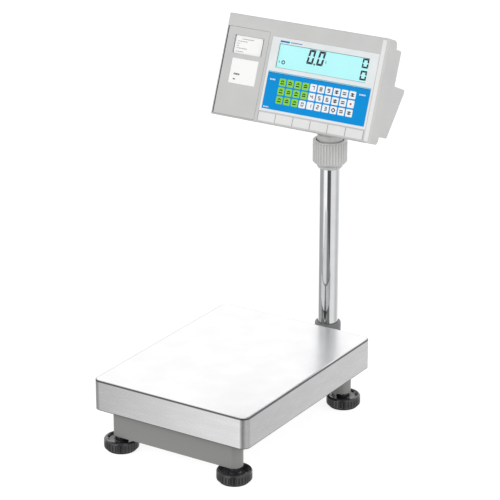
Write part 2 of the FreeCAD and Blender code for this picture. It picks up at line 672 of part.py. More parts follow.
def bubble_level_vial():
    """Low domed vial that fills the cup."""
    vial_r = LEVEL_R - 1.85
    base = ARM_TOP + 1.5
    return turned([(0, base), (vial_r, base), (vial_r, ARM_TOP + 8.0), (vial_r - 1.2, ARM_TOP + 8.6),
                   (vial_r * 0.5, ARM_TOP + 9.0), (0, ARM_TOP + 9.1)], 0.0, LEVEL_Y)


# ---------------------------------------------------------------- neck
KNUCKLE_R = 7.0
KNUCKLE_HALF_WIDTH = 15.6
TILT_BOLT_R = 3.0
NECK_SHOULDER_BOTTOM = LIP_TOP + 3.6


def head_neck():
    """Spigot in the column's bush, round shoulder above the nut and a knuckle for the tilt bolt."""
    spigot = [(0, 244.0), (NECK_R - 1, 244.0), (NECK_R, 245.0), (NECK_R, NECK_SHOULDER_BOTTOM)]
    shoulder = [(NECK_SHOULDER_R - 1.5, NECK_SHOULDER_BOTTOM), (NECK_SHOULDER_R, NECK_SHOULDER_BOTTOM + 1.5),
                (NECK_SHOULDER_R, NECK_SHOULDER_TOP - 4.0), (NECK_SHOULDER_R - 4.0, NECK_SHOULDER_TOP),
                (0, NECK_SHOULDER_TOP)]
    barrel = turned(spigot + shoulder, 0.0, COLUMN_Y)
    stem = box(-KNUCKLE_HALF_WIDTH, KNUCKLE_HALF_WIDTH, COLUMN_Y - KNUCKLE_R, COLUMN_Y + KNUCKLE_R,
               NECK_SHOULDER_TOP - 1, TILT_PIVOT_Z)
    knuckle = rod_x(KNUCKLE_R, -KNUCKLE_HALF_WIDTH, KNUCKLE_HALF_WIDTH, COLUMN_Y, TILT_PIVOT_Z)
    bolt_hole = rod_x(TILT_BOLT_R + RUNNING_FIT, -KNUCKLE_HALF_WIDTH - 1, KNUCKLE_HALF_WIDTH + 1,
                      COLUMN_Y, TILT_PIVOT_Z)
    lead_bore = rod_z(LEAD_HOLE_R, 240.0, NECK_BORE_TOP, 0.0, COLUMN_Y)
    return cut_all(fuse_all([barrel, stem, knuckle]), [bolt_hole, lead_bore])


# ---------------------------------------------------------------- head: placing and outlines
LEAN = radians(HEAD_LEAN)
HEAD_PLACEMENT = FreeCAD.Placement(HEAD_FOOT, FreeCAD.Rotation(X_AXIS, -HEAD_LEAN))


def in_head(shape):
    """A shape from the head's own frame, leaned back and lifted into place."""
    return shape.transformed(HEAD_PLACEMENT.toMatrix(), True)


def into_head_frame(y, z):
    """A point of the scale's middle plane, given in the head's own frame."""
    dy = y - HEAD_FOOT.y
    dz = z - HEAD_FOOT.z
    return dy * cos(LEAN) - dz * sin(LEAN), dy * sin(LEAN) + dz * cos(LEAN)


PIVOT_DEPTH, PIVOT_UP = into_head_frame(COLUMN_Y, TILT_PIVOT_Z)
PIVOT_X = -HEAD_FOOT.x
HALF_WIDTH = HEAD_WIDTH / 2


def parting_depth(up):
    """Depth of the joint between the front and rear shells at a height up the face."""
    return FRONT_DEPTH_BOTTOM + (FRONT_DEPTH_TOP - FRONT_DEPTH_BOTTOM) * up / HEAD_HEIGHT


FRONT_OUTLINE = [
    (0.0, 0.0), (0.0, HEAD_HEIGHT), (27.0, HEAD_HEIGHT), (34.0, HEAD_HEIGHT - 2.5),
    (parting_depth(172.0), 172.0), (parting_depth(6.5), 6.5), (32.3, 2.2), (27.5, 0.0),
]
REAR_OUTLINE = [
    (parting_depth(REAR_TOP), REAR_TOP), (REAR_DEPTH, REAR_TOP - 0.5),
    (REAR_DEPTH, REAR_BOTTOM + 0.5), (parting_depth(REAR_BOTTOM), REAR_BOTTOM),
]
COVER_OUTLINE = [
    (REAR_DEPTH, COVER_TOP), (COVER_DEPTH, COVER_TOP - 2.0), (COVER_DEPTH, 96.5),
    (COVER_DEPTH - 31.7, COVER_BOTTOM), (REAR_DEPTH, COVER_BOTTOM),
]
# Sloped margin down the face's right edge, as (x, depth) corners.
MARGIN_OUTLINE = [
    (149.3, 0.0), (156.0, 2.6), (HALF_WIDTH, 6.5), (HALF_WIDTH + 1, 6.5), (HALF_WIDTH + 1, -1.0),
    (149.3, -1.0),
]


def upright_prism(points, bottom, top):
    """Prism over a (x, depth) outline, standing up the face."""
    corners = [Vector(x, depth, bottom) for x, depth in points]
    return Part.Face(Part.makePolygon(corners + corners[:1])).extrude(Vector(0, 0, top - bottom))


def outline_face(points, inset, x):
    """Face over a (depth, up) outline, moved inwards by the inset."""
    corners = [Vector(x, y, z) for y, z in points]
    face = Part.Face(Part.makePolygon(corners + corners[:1]))
    return face.makeOffset2D(-inset) if inset else face


def outline_block(points, inset, half_width):
    return outline_face(points, inset, -half_width).extrude(Vector(2 * half_width, 0, 0))


def field_block(field, y0, y1, margin=0.0):
    """Block over a field of the face, between two depths."""
    left, right, bottom, top = field
    return box(left - margin, right + margin, y0, y1, bottom - margin, top + margin)


def rounded_field(field, y0, y1, radius, margin=0.0):
    """Block over a field of the face whose four corners are rounded."""
    block = field_block(field, y0, y1, margin)
    return block.makeFillet(radius, straight_edges(block, Y_AXIS))


def key_centres():
    for row in range(KEY_ROWS):
        for column in range(KEY_COLUMNS):
            yield KEY_FIRST_X + column * KEY_PITCH_X, KEY_TOP_ROW_Z - row * KEY_PITCH_Z


def head_front_shell():
    """Front moulding: face, sides, top and bottom, with a rim at the back for the rear shell."""
    outer = outline_block(FRONT_OUTLINE, 0.0, HALF_WIDTH)
    soft = [edge for edge in outer.Edges if all(abs(v.Y) < 0.01 for v in edge.Vertexes)]
    outer = outer.makeFillet(3.2, soft)
    sides = [edge for edge in outer.Edges if all(abs(abs(v.X) - HALF_WIDTH) < 0.01 and v.Z > 170 and v.Y > 1
                                                 for v in edge.Vertexes)]
    outer = outer.makeFillet(2.0, sides) if sides else outer
    outer = outer.cut(upright_prism(MARGIN_OUTLINE, -1.0, HEAD_HEIGHT + 1))
    inner = outline_block(FRONT_OUTLINE, HEAD_WALL, HALF_WIDTH - HEAD_WALL)
    inner = inner.cut(box(MARGIN_OUTLINE[0][0] - HEAD_WALL, HALF_WIDTH, 0.0, 9.0, 0.0, HEAD_HEIGHT))
    back_opening = box(-150.0, 150.0, 20.0, 50.0, 15.0, 162.5)
    shell = cut_all(outer, [inner, back_opening])
    solids = [shell]
    for x, up in SHELL_SCREWS:
        solids.append(rod_y(3.4, HEAD_WALL - 0.5, parting_depth(up) - 0.2, x, up))
    for x, up in BOARD_POSTS:
        solids.append(rod_y(2.4, HEAD_WALL - 0.5, BOARD_DEPTH, x, up))
    pivot_x = DOOR_PIVOT[0]
    hinge_lug = box(pivot_x - 3.5, pivot_x + 3.5, HEAD_WALL - 0.5, 8.0, DOOR_FIELD[3] + 0.4, 164.0)
    solids.append(hinge_lug)
    tools = [
        rounded_field(DOOR_FIELD, -1.0, HEAD_WALL + 1.2, 1.0, 0.4),
        rod_z(4.0, DOOR_FIELD[2] - 0.4, DOOR_FIELD[3] + 0.4, *DOOR_PIVOT),
        rod_z(DOOR_PIN_R + RUNNING_FIT, 1.0, 162.0, *DOOR_PIVOT),
        rounded_field(OVERLAY_FIELD, -1.0, OVERLAY_RECESS, 1.5, 0.3),
        field_block(KEY_FIELD, -1.0, KEY_RECESS, 0.2),
        rounded_field(DISPLAY_FIELD, -1.0, HEAD_WALL + 1.0, 1.0),
    ]
    for k in range(TAB_COUNT + 1):
        x = TAB_LEFT + (TAB_RIGHT - TAB_LEFT) * k / TAB_COUNT
        tools.append(box(x - TAB_GROOVE / 2, x + TAB_GROOVE / 2, -1.0, TAB_GROOVE_DEPTH, TAB_BOTTOM, TAB_TOP))
    for x, up in SHELL_SCREWS:
        tools.append(rod_y(SHELL_SCREW_R, 22.0, 45.0, x, up))
    return cut_all(fuse_all(solids), tools)


def head_rear_shell():
    """Rear moulding: a tray screwed to the front shell, with sockets in its upper back wall."""
    outer = outline_block(REAR_OUTLINE, 0.0, REAR_HALF_WIDTH)
    top_edge = [edge for edge in outer.Edges
                if all(vertex.Y > REAR_DEPTH - 1 and vertex.Z > REAR_TOP - 1 for vertex in edge.Vertexes)]
    outer = outer.makeFillet(REAR_EDGE_R, top_edge)
    inner_top = REAR_TOP - HEAD_WALL - 0.5
    inner_bottom = REAR_BOTTOM + HEAD_WALL + 0.5
    inner = box(-REAR_HALF_WIDTH + HEAD_WALL, REAR_HALF_WIDTH - HEAD_WALL, FRONT_DEPTH_BOTTOM - 10,
                REAR_DEPTH - HEAD_WALL, inner_bottom, inner_top)
    inner_edge = [edge for edge in inner.Edges
                  if all(vertex.Y > REAR_DEPTH - 4 and vertex.Z > inner_top - 1 for vertex in edge.Vertexes)]
    inner = inner.makeFillet(REAR_EDGE_R - HEAD_WALL, inner_edge)
    shell = outer.cut(inner)
    solids = [shell]
    for x, up in SHELL_SCREWS:
        column = rod_y(5.2, SCREW_SEAT_DEPTH - 2.5, REAR_DEPTH - 1.0, x, up)
        solids.append(column.common(outer))
    tools = []
    for x, up in SHELL_SCREWS:
        tools.append(rod_y(3.4, SCREW_SEAT_DEPTH, REAR_DEPTH + 1, x, up))
        tools.append(rod_y(SHELL_SCREW_R + 0.2, SCREW_SEAT_DEPTH - 4, SCREW_SEAT_DEPTH + 1, x, up))
    for field in (INLET_FIELD, SERIAL_FIELD, SWITCH_FIELD):
        tools.append(field_block(field, REAR_DEPTH - HEAD_WALL - 1, REAR_DEPTH + 1))
    switch_x, switch_up = middle_of(SWITCH_FIELD)
    for side in (-1, 1):
        lug_up = switch_up + side * SWITCH_PIN_REACH
        solids.append(box(switch_x - 3.0, switch_x + 3.0, SWITCH_PIVOT_DEPTH - 3.0, REAR_DEPTH - 1,
                          lug_up - 0.8, lug_up + 0.8))
    tools.append(rod_z(SWITCH_PIN_R + RUNNING_FIT, switch_up - SWITCH_PIN_REACH - 1,
                       switch_up + SWITCH_PIN_REACH + 1, switch_x, SWITCH_PIVOT_DEPTH))
    for x, up in COVER_SCREWS:
        tools.append(rod_y(SHELL_SCREW_R, REAR_DEPTH - HEAD_WALL - 1, REAR_DEPTH + 1, x, up))
    for x, up in bracket_screw_places():
        tools.append(rod_y(SHELL_SCREW_R + 0.1, REAR_DEPTH - HEAD_WALL - 1, REAR_DEPTH + 1, x, up))
    return cut_all(fuse_all(solids), tools)


# Notch in the cover, where the tilt bracket stands.
NOTCH_HALF_WIDTH = 36.0
NOTCH_TOP = 60.0
COVER_EDGE_R = 2.6


def rear_cover():
    """Wedge-shaped cover over the battery bay, notched for the tilt bracket."""
    notch_left = PIVOT_X - NOTCH_HALF_WIDTH
    notch_right = PIVOT_X + NOTCH_HALF_WIDTH
    outer = outline_block(COVER_OUTLINE, 0.0, COVER_HALF_WIDTH)
    back_edges = [edge for edge in straight_edges(outer, X_AXIS)
                  if all(vertex.Y > REAR_DEPTH + 5 for vertex in edge.Vertexes)]
    outer = outer.makeFillet(COVER_EDGE_R, back_edges)
    outer = outer.cut(box(notch_left, notch_right, REAR_DEPTH - 5, COVER_DEPTH + 5, 0.0, NOTCH_TOP))
    open_front = [(depth if depth > REAR_DEPTH else depth - 2 * HEAD_WALL, up) for depth, up in COVER_OUTLINE]
    inner = outline_block(open_front, HEAD_WALL, COVER_HALF_WIDTH - HEAD_WALL)
    inner = inner.cut(box(notch_left - HEAD_WALL, notch_right + HEAD_WALL, REAR_DEPTH - 5, COVER_DEPTH + 5,
                          0.0, NOTCH_TOP + HEAD_WALL))
    solids = [outer.cut(inner)]
    tools = []
    for x, up in COVER_SCREWS:
        ear = box(x - 5, x + 5, REAR_DEPTH, REAR_DEPTH + 3, up - 4.0, up + 4.0)
        solids.append(ear.common(outer))
        tools.append(rod_y(SHELL_SCREW_R + 0.2, REAR_DEPTH - 1, REAR_DEPTH + 4, x, up))
        tools.append(rod_y(3.2, REAR_DEPTH + 3, REAR_DEPTH + 45, x, up))
    return cut_all(fuse_all(solids), tools)


def pan_head_screw(x, up, seat, length):
    """Self-tapping screw into the head from behind: shank towards the face, head on its seat."""
    shank = rod_y(SHELL_SCREW_R - 0.02, seat - length, seat + 0.5, x, up)
    cap = rod_y(2.9, seat, seat + 2.2, x, up)
    cross = [box(x - 2.0, x + 2.0, seat + 1.2, seat + 3, up - 0.4, up + 0.4),
             box(x - 0.4, x + 0.4, seat + 1.2, seat + 3, up - 2.0, up + 2.0)]
    return cut_all(shank.fuse(cap), cross)


def shell_screws():
    return Part.makeCompound([pan_head_screw(x, up, SCREW_SEAT_DEPTH, 20.0) for x, up in SHELL_SCREWS])


def cover_screws():
    """Screws of the rear cover and of the tilt bracket."""
    screws = [pan_head_screw(x, up, REAR_DEPTH + 3.0, 8.0) for x, up in COVER_SCREWS]
    screws += [pan_head_screw(x, up, REAR_DEPTH + BRACKET_SHEET, 8.0) for x, up in bracket_screw_places()]
    return Part.makeCompound(screws)


# ---------------------------------------------------------------- tilt bracket
LUG_INNER = 16.0
LUG_OUTER = 20.0
LUG_R = 7.3
BRACKET_SHEET = 1.5


def bracket_screw_places():
    return [(PIVOT_X + side * 26.0, up) for up in (20.5, 50.0) for side in (-1, 1)]


def tilt_bracket():
    """Steel plate on the back of the head with two lugs for the tilt bolt."""
    plate = box(PIVOT_X - 32.0, PIVOT_X + 32.0, REAR_DEPTH, REAR_DEPTH + BRACKET_SHEET, 16.5, 56.0)
    solids = [plate]
    for side in (-1, 1):
        x0, x1 = sorted((PIVOT_X + side * LUG_INNER, PIVOT_X + side * LUG_OUTER))
        solids.append(box(x0, x1, REAR_DEPTH + 0.5, PIVOT_DEPTH, PIVOT_UP - LUG_R, PIVOT_UP + LUG_R))
        solids.append(rod_x(LUG_R, x0, x1, PIVOT_DEPTH, PIVOT_UP))
    gap = box(PIVOT_X - LUG_INNER, PIVOT_X + LUG_INNER, REAR_DEPTH - 1, REAR_DEPTH + 4, 15.0, PIVOT_UP + 12.0)
    tools = [rod_x(TILT_BOLT_R, PIVOT_X - 40, PIVOT_X + 40, PIVOT_DEPTH, PIVOT_UP), gap]
    for x, up in bracket_screw_places():
        tools.append(rod_y(SHELL_SCREW_R + 0.2, REAR_DEPTH - 1, REAR_DEPTH + 4, x, up))
    return cut_all(fuse_all(solids), tools)


def tilt_bolt():
    """Bolt through both lugs and the neck's knuckle, with a cap at one end and a nut at the other."""
    shank = rod_x(TILT_BOLT_R - 0.01, PIVOT_X - LUG_OUTER, PIVOT_X + LUG_OUTER + 8, PIVOT_DEPTH, PIVOT_UP)
    cap = rod_x(5.0, PIVOT_X - LUG_OUTER - 6.0, PIVOT_X - LUG_OUTER, PIVOT_DEPTH, PIVOT_UP)
    nut = hexagon_z(10.0, 0.0, 5.0, 0.0, 0.0)
    nut.rotate(Vector(0, 0, 0), Y_AXIS, 90)
    nut.translate(Vector(PIVOT_X + LUG_OUTER, PIVOT_DEPTH, PIVOT_UP))
    return fuse_all([shank, cap, nut])


# ---------------------------------------------------------------- display and keypad
def front_overlay():
    """Printed sheet in its recess, open over the display, with the keys embossed."""
    sheet = rounded_field(OVERLAY_FIELD, 0.05, OVERLAY_RECESS, 1.5)
    sheet = sheet.cut(rounded_field(DISPLAY_FIELD, -1.0, 2.0, 1.0))
    half = KEY_SIZE / 2
    keys = []
    for x, up in key_centres():
        key = box(x - half, x + half, 0.05 - KEY_EMBOSS, OVERLAY_RECESS - 0.1, up - half, up + half)
        keys.append(key.makeFillet(1.2, straight_edges(key, Y_AXIS)))
    return sheet.multiFuse(keys)


def snap_domes():
    """One thin steel dome under each key."""
    return Part.makeCompound([rod_y(4.5, OVERLAY_RECESS + 0.02, KEY_RECESS - 0.42, x, up)
                              for x, up in key_centres()])


def keypad_circuit():
    left, right, bottom, top = KEY_FIELD
    return box(left + 0.5, right - 0.5, KEY_RECESS - 0.4, KEY_RECESS, bottom + 0.5, top - 0.5)


def display_window():
    return rounded_field(DISPLAY_FIELD, 0.1, HEAD_WALL - 0.1, 1.0, -0.15)


LCD_FIELD = (-50.0, 135.0, 96.0, 144.0)


def lcd_panel():
    return field_block(LCD_FIELD, HEAD_WALL + 0.05, HEAD_WALL + 3.0)


def lcd_backlight():
    return field_block(LCD_FIELD, HEAD_WALL + 3.05, HEAD_WALL + 7.5, -0.5)


def main_board():
    """Populated board: the larger components stand on its rear face."""
    board = box(-56.0, 150.0, BOARD_DEPTH, BOARD_DEPTH + 1.6, 28.0, 152.0)
    rear = BOARD_DEPTH + 1.5
    parts = [board,
             box(-20.0, 2.0, rear, rear + 2.5, 60.0, 82.0),
             box(40.0, 62.0, rear, rear + 3.5, 100.0, 112.0),
             box(100.0, 118.0, rear, rear + 12.0, 40.0, 62.0)]
    for k in range(4):
        parts.append(rod_y(4.0, rear, rear + 11.0, 60.0 + 10.5 * k, 40.0))
    for k in range(3):
        parts.append(box(-45.0 + 14 * k, -35.0 + 14 * k, rear, rear + 8.0, 130.0, 138.0))
    return fuse_all(parts)


def battery_pack():
    """Four cells side by side in one sleeve, in the bay behind the rear shell."""
    cell_r = 7.2
    depth = REAR_DEPTH + 0.2 + cell_r
    cells = [rod_x(cell_r, -120.0, -68.0, depth, 40.0 + 2 * cell_r * k * 0.97 + 8.0) for k in range(4)]
    return fuse_all(cells)


def power_inlet():
    """Round low-voltage socket with its centre pin."""
    middle_x, middle_up = middle_of(INLET_FIELD)
    body = field_block(INLET_FIELD, REAR_DEPTH - 14, REAR_DEPTH, -0.1)
    flange = field_block(INLET_FIELD, REAR_DEPTH, REAR_DEPTH + 1.2, 1.5)
    bore = rod_y(4.2, REAR_DEPTH - 10, REAR_DEPTH + 2, middle_x, middle_up)
    pin = rod_y(1.2, REAR_DEPTH - 11, REAR_DEPTH, middle_x, middle_up)
    return body.fuse(flange).cut(bore).fuse(pin)


def serial_port():
    """Nine-way socket with its two jack posts."""
    middle_x, middle_up = middle_of(SERIAL_FIELD)
    post_x = 12.4
    pin_pitch = 2.75
    flange = field_block(SERIAL_FIELD, REAR_DEPTH - 2.0, REAR_DEPTH, -0.1)
    shroud = box(middle_x - 8.5, middle_x + 8.5, REAR_DEPTH - 9, REAR_DEPTH + 5.5,
                 middle_up - 4.2, middle_up + 4.2)
    shroud = shroud.makeFillet(2.0, straight_edges(shroud, Y_AXIS))
    posts = [hexagon_y(4.8, REAR_DEPTH - 0.1, REAR_DEPTH + 4.5, middle_x + side * post_x, middle_up)
             for side in (-1, 1)]
    sockets = []
    for row_up, count in ((1.4, 5), (-1.4, 4)):
        for k in range(count):
            across = middle_x + (k - (count - 1) / 2) * pin_pitch
            sockets.append(rod_y(0.55, REAR_DEPTH + 3.0, REAR_DEPTH + 6.0, across, middle_up + row_up))
    return cut_all(fuse_all([flange, shroud] + posts), sockets)


def power_switch():
    """Rocker whose two wings lean 8 degrees either way from its pivot pins."""
    left, right, bottom, top = SWITCH_FIELD
    middle_x, middle_up = middle_of(SWITCH_FIELD)
    half_x = (right - left) / 2 - 2.4
    half_up = (top - bottom) / 2 - 0.6
    rise = half_x * tan(radians(SWITCH_TIP))
    front = REAR_DEPTH + 0.4
    root = SWITCH_PIVOT_DEPTH - SWITCH_PIN_R
    outline = [(middle_x - half_x, front + 2 * rise), (middle_x, front), (middle_x + half_x, front),
               (middle_x + half_x - 1, root), (middle_x - half_x + 1, root)]
    corners = [Vector(x, y, middle_up - half_up) for x, y in outline]
    rocker = Part.Face(Part.makePolygon(corners + corners[:1])).extrude(Vector(0, 0, 2 * half_up))
    pins = rod_z(SWITCH_PIN_R, middle_up - SWITCH_PIN_REACH, middle_up + SWITCH_PIN_REACH, middle_x,
                 SWITCH_PIVOT_DEPTH)
    return fuse_all([rocker, pins])


# ---------------------------------------------------------------- label printer
def printer_door():
    """Door with a hinge barrel along its left edge, the exit window and a recess for the label."""
    pivot_x, pivot_depth = DOOR_PIVOT
    left, right, bottom, top = DOOR_FIELD
    panel = box(pivot_x, right, 0.0, DOOR_THICKNESS, bottom, top)
    barrel = rod_z(-DOOR_FIELD[0] + pivot_x, bottom, top, pivot_x, pivot_depth)
    pins = rod_z(DOOR_PIN_R, 1.5, 161.0, pivot_x, pivot_depth)
    latch = box(right - 4.4, right - 1.9, DOOR_THICKNESS - 0.5, 9.0, 72.0, 88.0)
    tools = [rounded_field(EXIT_WINDOW, -1.0, DOOR_THICKNESS + 1.0, 0.8),
             field_block(SPEC_FIELD, -1.0, 0.4, 0.15)]
    return cut_all(fuse_all([panel, barrel, pins, latch]), tools)


def spec_label():
    return field_block(SPEC_FIELD, 0.05, 0.4)


def printer_frame():
    """Two cheeks and two cross bars that hold the roll, the platen and the print head."""
    roll_depth, roll_up = ROLL_CENTRE
    platen_depth, platen_up = PLATEN_CENTRE
    solids = []
    for x in (CHEEK_LEFT, CHEEK_RIGHT - CHEEK):
        solids.append(side_prism([(9.0, 34.0), (30.0, 24.0), (50.0, 40.0), (50.0, 138.0), (6.0, 138.0),
                                  (6.0, 100.0)], x, x + CHEEK))
    solids.append(box(CHEEK_LEFT, CHEEK_RIGHT, 40.0, 50.0, 112.0, 138.0))
    solids.append(box(CHEEK_LEFT, CHEEK_RIGHT, 24.0, 36.0, 28.0, 34.0))
    tools = [rod_x(ROLL_CORE_R, CHEEK_LEFT - 1, CHEEK_RIGHT + 1, roll_depth, roll_up),
             rod_x(PLATEN_SHAFT_R + RUNNING_FIT, CHEEK_LEFT - 1, CHEEK_RIGHT + 1, platen_depth, platen_up)]
    return cut_all(fuse_all(solids), tools)


def print_head():
    """Thermal head with its cooling block, fixed to the upper cross bar."""
    strip = box(-137.0, -81.0, PLATEN_CENTRE[0] + PLATEN_R + 0.8, 23.0, 116.0, 124.0)
    block = box(-138.0, -80.0, 22.5, 40.0, 114.0, 130.0)
    return strip.fuse(block)


def platen_roller():
    depth, up = PLATEN_CENTRE
    shaft = rod_x(PLATEN_SHAFT_R, CHEEK_LEFT - 1.5, CHEEK_RIGHT + 1.5, depth, up)
    return shaft.fuse(rod_x(PLATEN_R, -138.0, -82.0, depth, up))


def label_roll():
    depth, up = ROLL_CENTRE
    roll = rod_x(ROLL_R, -139.0, -84.0, depth, up)
    return roll.cut(rod_x(ROLL_CORE_R + RUNNING_FIT, -140.0, -83.0, depth, up))


def roll_spindle():
    depth, up = ROLL_CENTRE
    return rod_x(ROLL_CORE_R - SPINDLE_FIT, CHEEK_LEFT, CHEEK_RIGHT, depth, up)


def label_strip():
    """Label web from the roll, between the platen and the head, and down behind the exit window."""
    route = [(47.2, 76.6), (18.4, 112.0), (18.4, 127.0), (10.4, 138.8), (6.4, 141.0), (3.6, 139.4),
             (3.6, 107.0)]
    return side_prism(sheet_outline(route, 0.3), EXIT_WINDOW[0] + 0.5, EXIT_WINDOW[1] - 3.2)


# ---------------------------------------------------------------- writing the nodes
def main():
    os.makedirs("parts", exist_ok=True)
    fixed_builders = [
        weighing_pan, pan_support_pads, upper_frame, cell_top_spacer, cell_top_screws, load_cell,
        cell_base_spacer, cell_base_bolts, lower_frame, overload_stops, column_bracket, bracket_bolts,
        column_screws, column_collar, column_tube, column_top_bush, clamp_ring, column_nut, load_cell_lead,
        bubble_level_housing, bubble_level_vial, head_neck,
    ]
    head_builders = [
        head_front_shell, head_rear_shell, rear_cover, shell_screws, cover_screws, tilt_bracket, tilt_bolt,
        front_overlay, snap_domes, keypad_circuit, display_window, lcd_panel, lcd_backlight, main_board,
        battery_pack, power_inlet, serial_port, power_switch, printer_door, spec_label, printer_frame,
        print_head, platen_roller, label_roll, roll_spindle, label_strip,
    ]
    for build in fixed_builders:
        export(build.__name__, build())
    for corner, (x, y) in FOOT_CORNERS.items():
        export(f"foot_pad_{corner}", foot_pad(x, y))
        export(f"foot_knob_{corner}", foot_knob(x, y))
        export(f"foot_stud_{corner}", foot_stud(x, y))
    for build in head_builders:
        export(build.__name__, in_head(build()))


main()
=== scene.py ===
import json
from math import atan2, cos, pi, radians, sin

import bpy
from mathutils import Matrix, Vector


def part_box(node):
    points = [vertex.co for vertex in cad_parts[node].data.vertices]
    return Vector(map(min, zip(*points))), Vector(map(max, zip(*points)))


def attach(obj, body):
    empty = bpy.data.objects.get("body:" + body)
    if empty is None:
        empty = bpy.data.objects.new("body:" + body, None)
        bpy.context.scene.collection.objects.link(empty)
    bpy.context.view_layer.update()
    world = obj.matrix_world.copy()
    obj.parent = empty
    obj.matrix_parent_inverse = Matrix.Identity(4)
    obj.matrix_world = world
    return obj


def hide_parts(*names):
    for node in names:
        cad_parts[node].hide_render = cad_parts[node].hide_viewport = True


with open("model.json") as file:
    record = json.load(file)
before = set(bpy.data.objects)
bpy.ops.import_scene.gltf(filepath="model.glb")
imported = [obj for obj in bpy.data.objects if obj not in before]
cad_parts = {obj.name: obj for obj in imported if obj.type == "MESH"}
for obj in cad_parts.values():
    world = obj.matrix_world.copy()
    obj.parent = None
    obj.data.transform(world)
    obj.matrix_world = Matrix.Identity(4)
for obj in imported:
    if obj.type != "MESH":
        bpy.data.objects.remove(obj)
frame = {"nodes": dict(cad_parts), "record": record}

bpy.context.view_layer.update()

# ---------------------------------------------------------------- units and driving values
# Lengths in this script are millimetres until a mesh is made; MM turns them into metres.
MM = 0.001

# The camera's place is in metres, its turn and height in degrees, its lens and sensor in millimetres.
CAMERA_PLACE = (1.9348, -2.9911, 1.5424)
CAMERA_AZIMUTH = 32.48
CAMERA_ELEVATION = 20.74
CAMERA_LENS = 166.1
SENSOR_WIDTH = 36.0
CAMERA_REACH = 100.0

# On the pan's top a painted dark edge line, standing in for a dark reflection, darkens the colour over this
# distance, in metres, before the edge.
PAN_EDGE_SHADE = 0.0045

# Steps in each quarter of a rounded corner or edge, and the angle above which an edge stays sharp.
ARC_STEPS = 8
SHARP_ANGLE = 32.0

# The studio is in metres. Its softboxes: (name, place, target, width, height, watts).
FLOOR_HALF_SIZE = 9.0
FLOOR_GLOW = 0.88
SOFTBOXES = (("key_softbox", (-1.2, -3.2, 1.9), (0, 0.1, 0.1), 2.4, 2.0, 40.0),
             ("fill_softbox", (2.9, 0.2, 1.3), (0, 0.1, 0.2), 2.0, 2.0, 26.0))

# The room that lights everything softly: (share of the way up, share of full strength).
ROOM_STRENGTH = 1.05
ROOM_RISE = ((0.0, 0.40), (0.44, 0.52), (0.54, 1.05), (0.72, 1.0), (1.0, 0.15))
# The studio that polished metal reflects. Its walls: (degrees round from the front, brightness).
STUDIO_PEAK = 1.5
LOW_WALLS = ((-180, 1.15), (-142, 1.1), (-130, 0.42), (-78, 0.46), (-62, 1.16), (-30, 1.22), (-24, 0.09),
             (10, 0.11), (18, 0.90), (60, 0.92), (84, 0.66), (106, 0.62), (116, 0.82), (130, 0.85),
             (142, 1.1), (180, 1.15))
HIGH_WALLS = ((-180, 1.40), (-132, 1.40), (-112, 0.62), (-74, 0.60), (-62, 1.10), (-30, 1.10), (-20, 0.36),
              (8, 0.36), (20, 0.90), (100, 0.80), (116, 0.85), (132, 1.40), (180, 1.40))
# Where the low walls give way to the high ones, and those to the ceiling, as shares of the way up.
STUDIO_HORIZON = ((0.49, 0.0), (0.52, 1.0))
STUDIO_CEILING = ((0.86, 0.0), (0.93, 1.0))
CEILING_GLOW = 0.50


def linear(red, green, blue):
    """Scene-linear colour of a display colour given from 0 to 255."""
    def channel(value):
        share = value / 255
        return share / 12.92 if share <= 0.04045 else ((share + 0.055) / 1.055) ** 2.4
    return channel(red), channel(green), channel(blue)


# ---------------------------------------------------------------- the head's own frame
class HeadFrame:
    """Across, depth into the head and up its face, measured from the face's bottom edge."""

    def __init__(self):
        inlet = next(m for m in frame["record"]["mounts"] if m["name"] == "power_inlet")
        self.across = Vector((1, 0, 0))
        self.depth = Vector(inlet["axis"]).normalized()
        self.up = self.across.cross(self.depth)
        low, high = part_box("head_front_shell")
        corners = [v.co for v in frame["nodes"]["head_front_shell"].data.vertices]
        middle = (low.x + high.x) / 2
        near = min(c.dot(self.depth) for c in corners)
        foot = min(c.dot(self.up) for c in corners)
        self.origin = self.across * middle + self.depth * near + self.up * foot

    def point(self, x, depth, up):
        """Row-frame point, in millimetres, of a point of the head."""
        place = self.origin + (self.across * x + self.depth * depth + self.up * up) * MM
        return place / MM

    def box(self, node):
        """(left, right, near, far, bottom, top) of a node in the head's frame, in millimetres."""
        places = [v.co - self.origin for v in frame["nodes"][node].data.vertices]
        spans = []
        for axis in (self.across, self.depth, self.up):
            reach = [p.dot(axis) / MM for p in places]
            spans += [min(reach), max(reach)]
        return spans


HEAD = HeadFrame()


# ---------------------------------------------------------------- mesh building
def add_piece(name, points, faces, body, material, place=None):
    """Mesh object from points in millimetres, smooth except at sharp corners, riding on a body."""
    if place:
        points = [place(*p) for p in points]
    mesh = bpy.data.meshes.new(name)
    mesh.from_pydata([Vector(p) * MM for p in points], [], faces)
    mesh.validate()
    mesh.shade_smooth()
    mesh.set_sharp_from_angle(angle=radians(SHARP_ANGLE))
    mesh.materials.append(material)
    piece = bpy.data.objects.new(name, mesh)
    bpy.context.scene.collection.objects.link(piece)
    if body:
        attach(piece, body)
    return piece


def loft(rings, cap_first=True, cap_last=True):
    """Points and faces of a skin over rings that have the same number of points."""
    count = len(rings[0])
    points = [p for ring in rings for p in ring]
    faces = []
    for r in range(len(rings) - 1):
        for k in range(count):
            after = (k + 1) % count
            faces.append((r * count + k, r * count + after, (r + 1) * count + after, (r + 1) * count + k))
    if cap_first:
        faces.append(tuple(reversed(range(count))))
    if cap_last:
        start = (len(rings) - 1) * count
        faces.append(tuple(range(start, start + count)))
    return points, faces


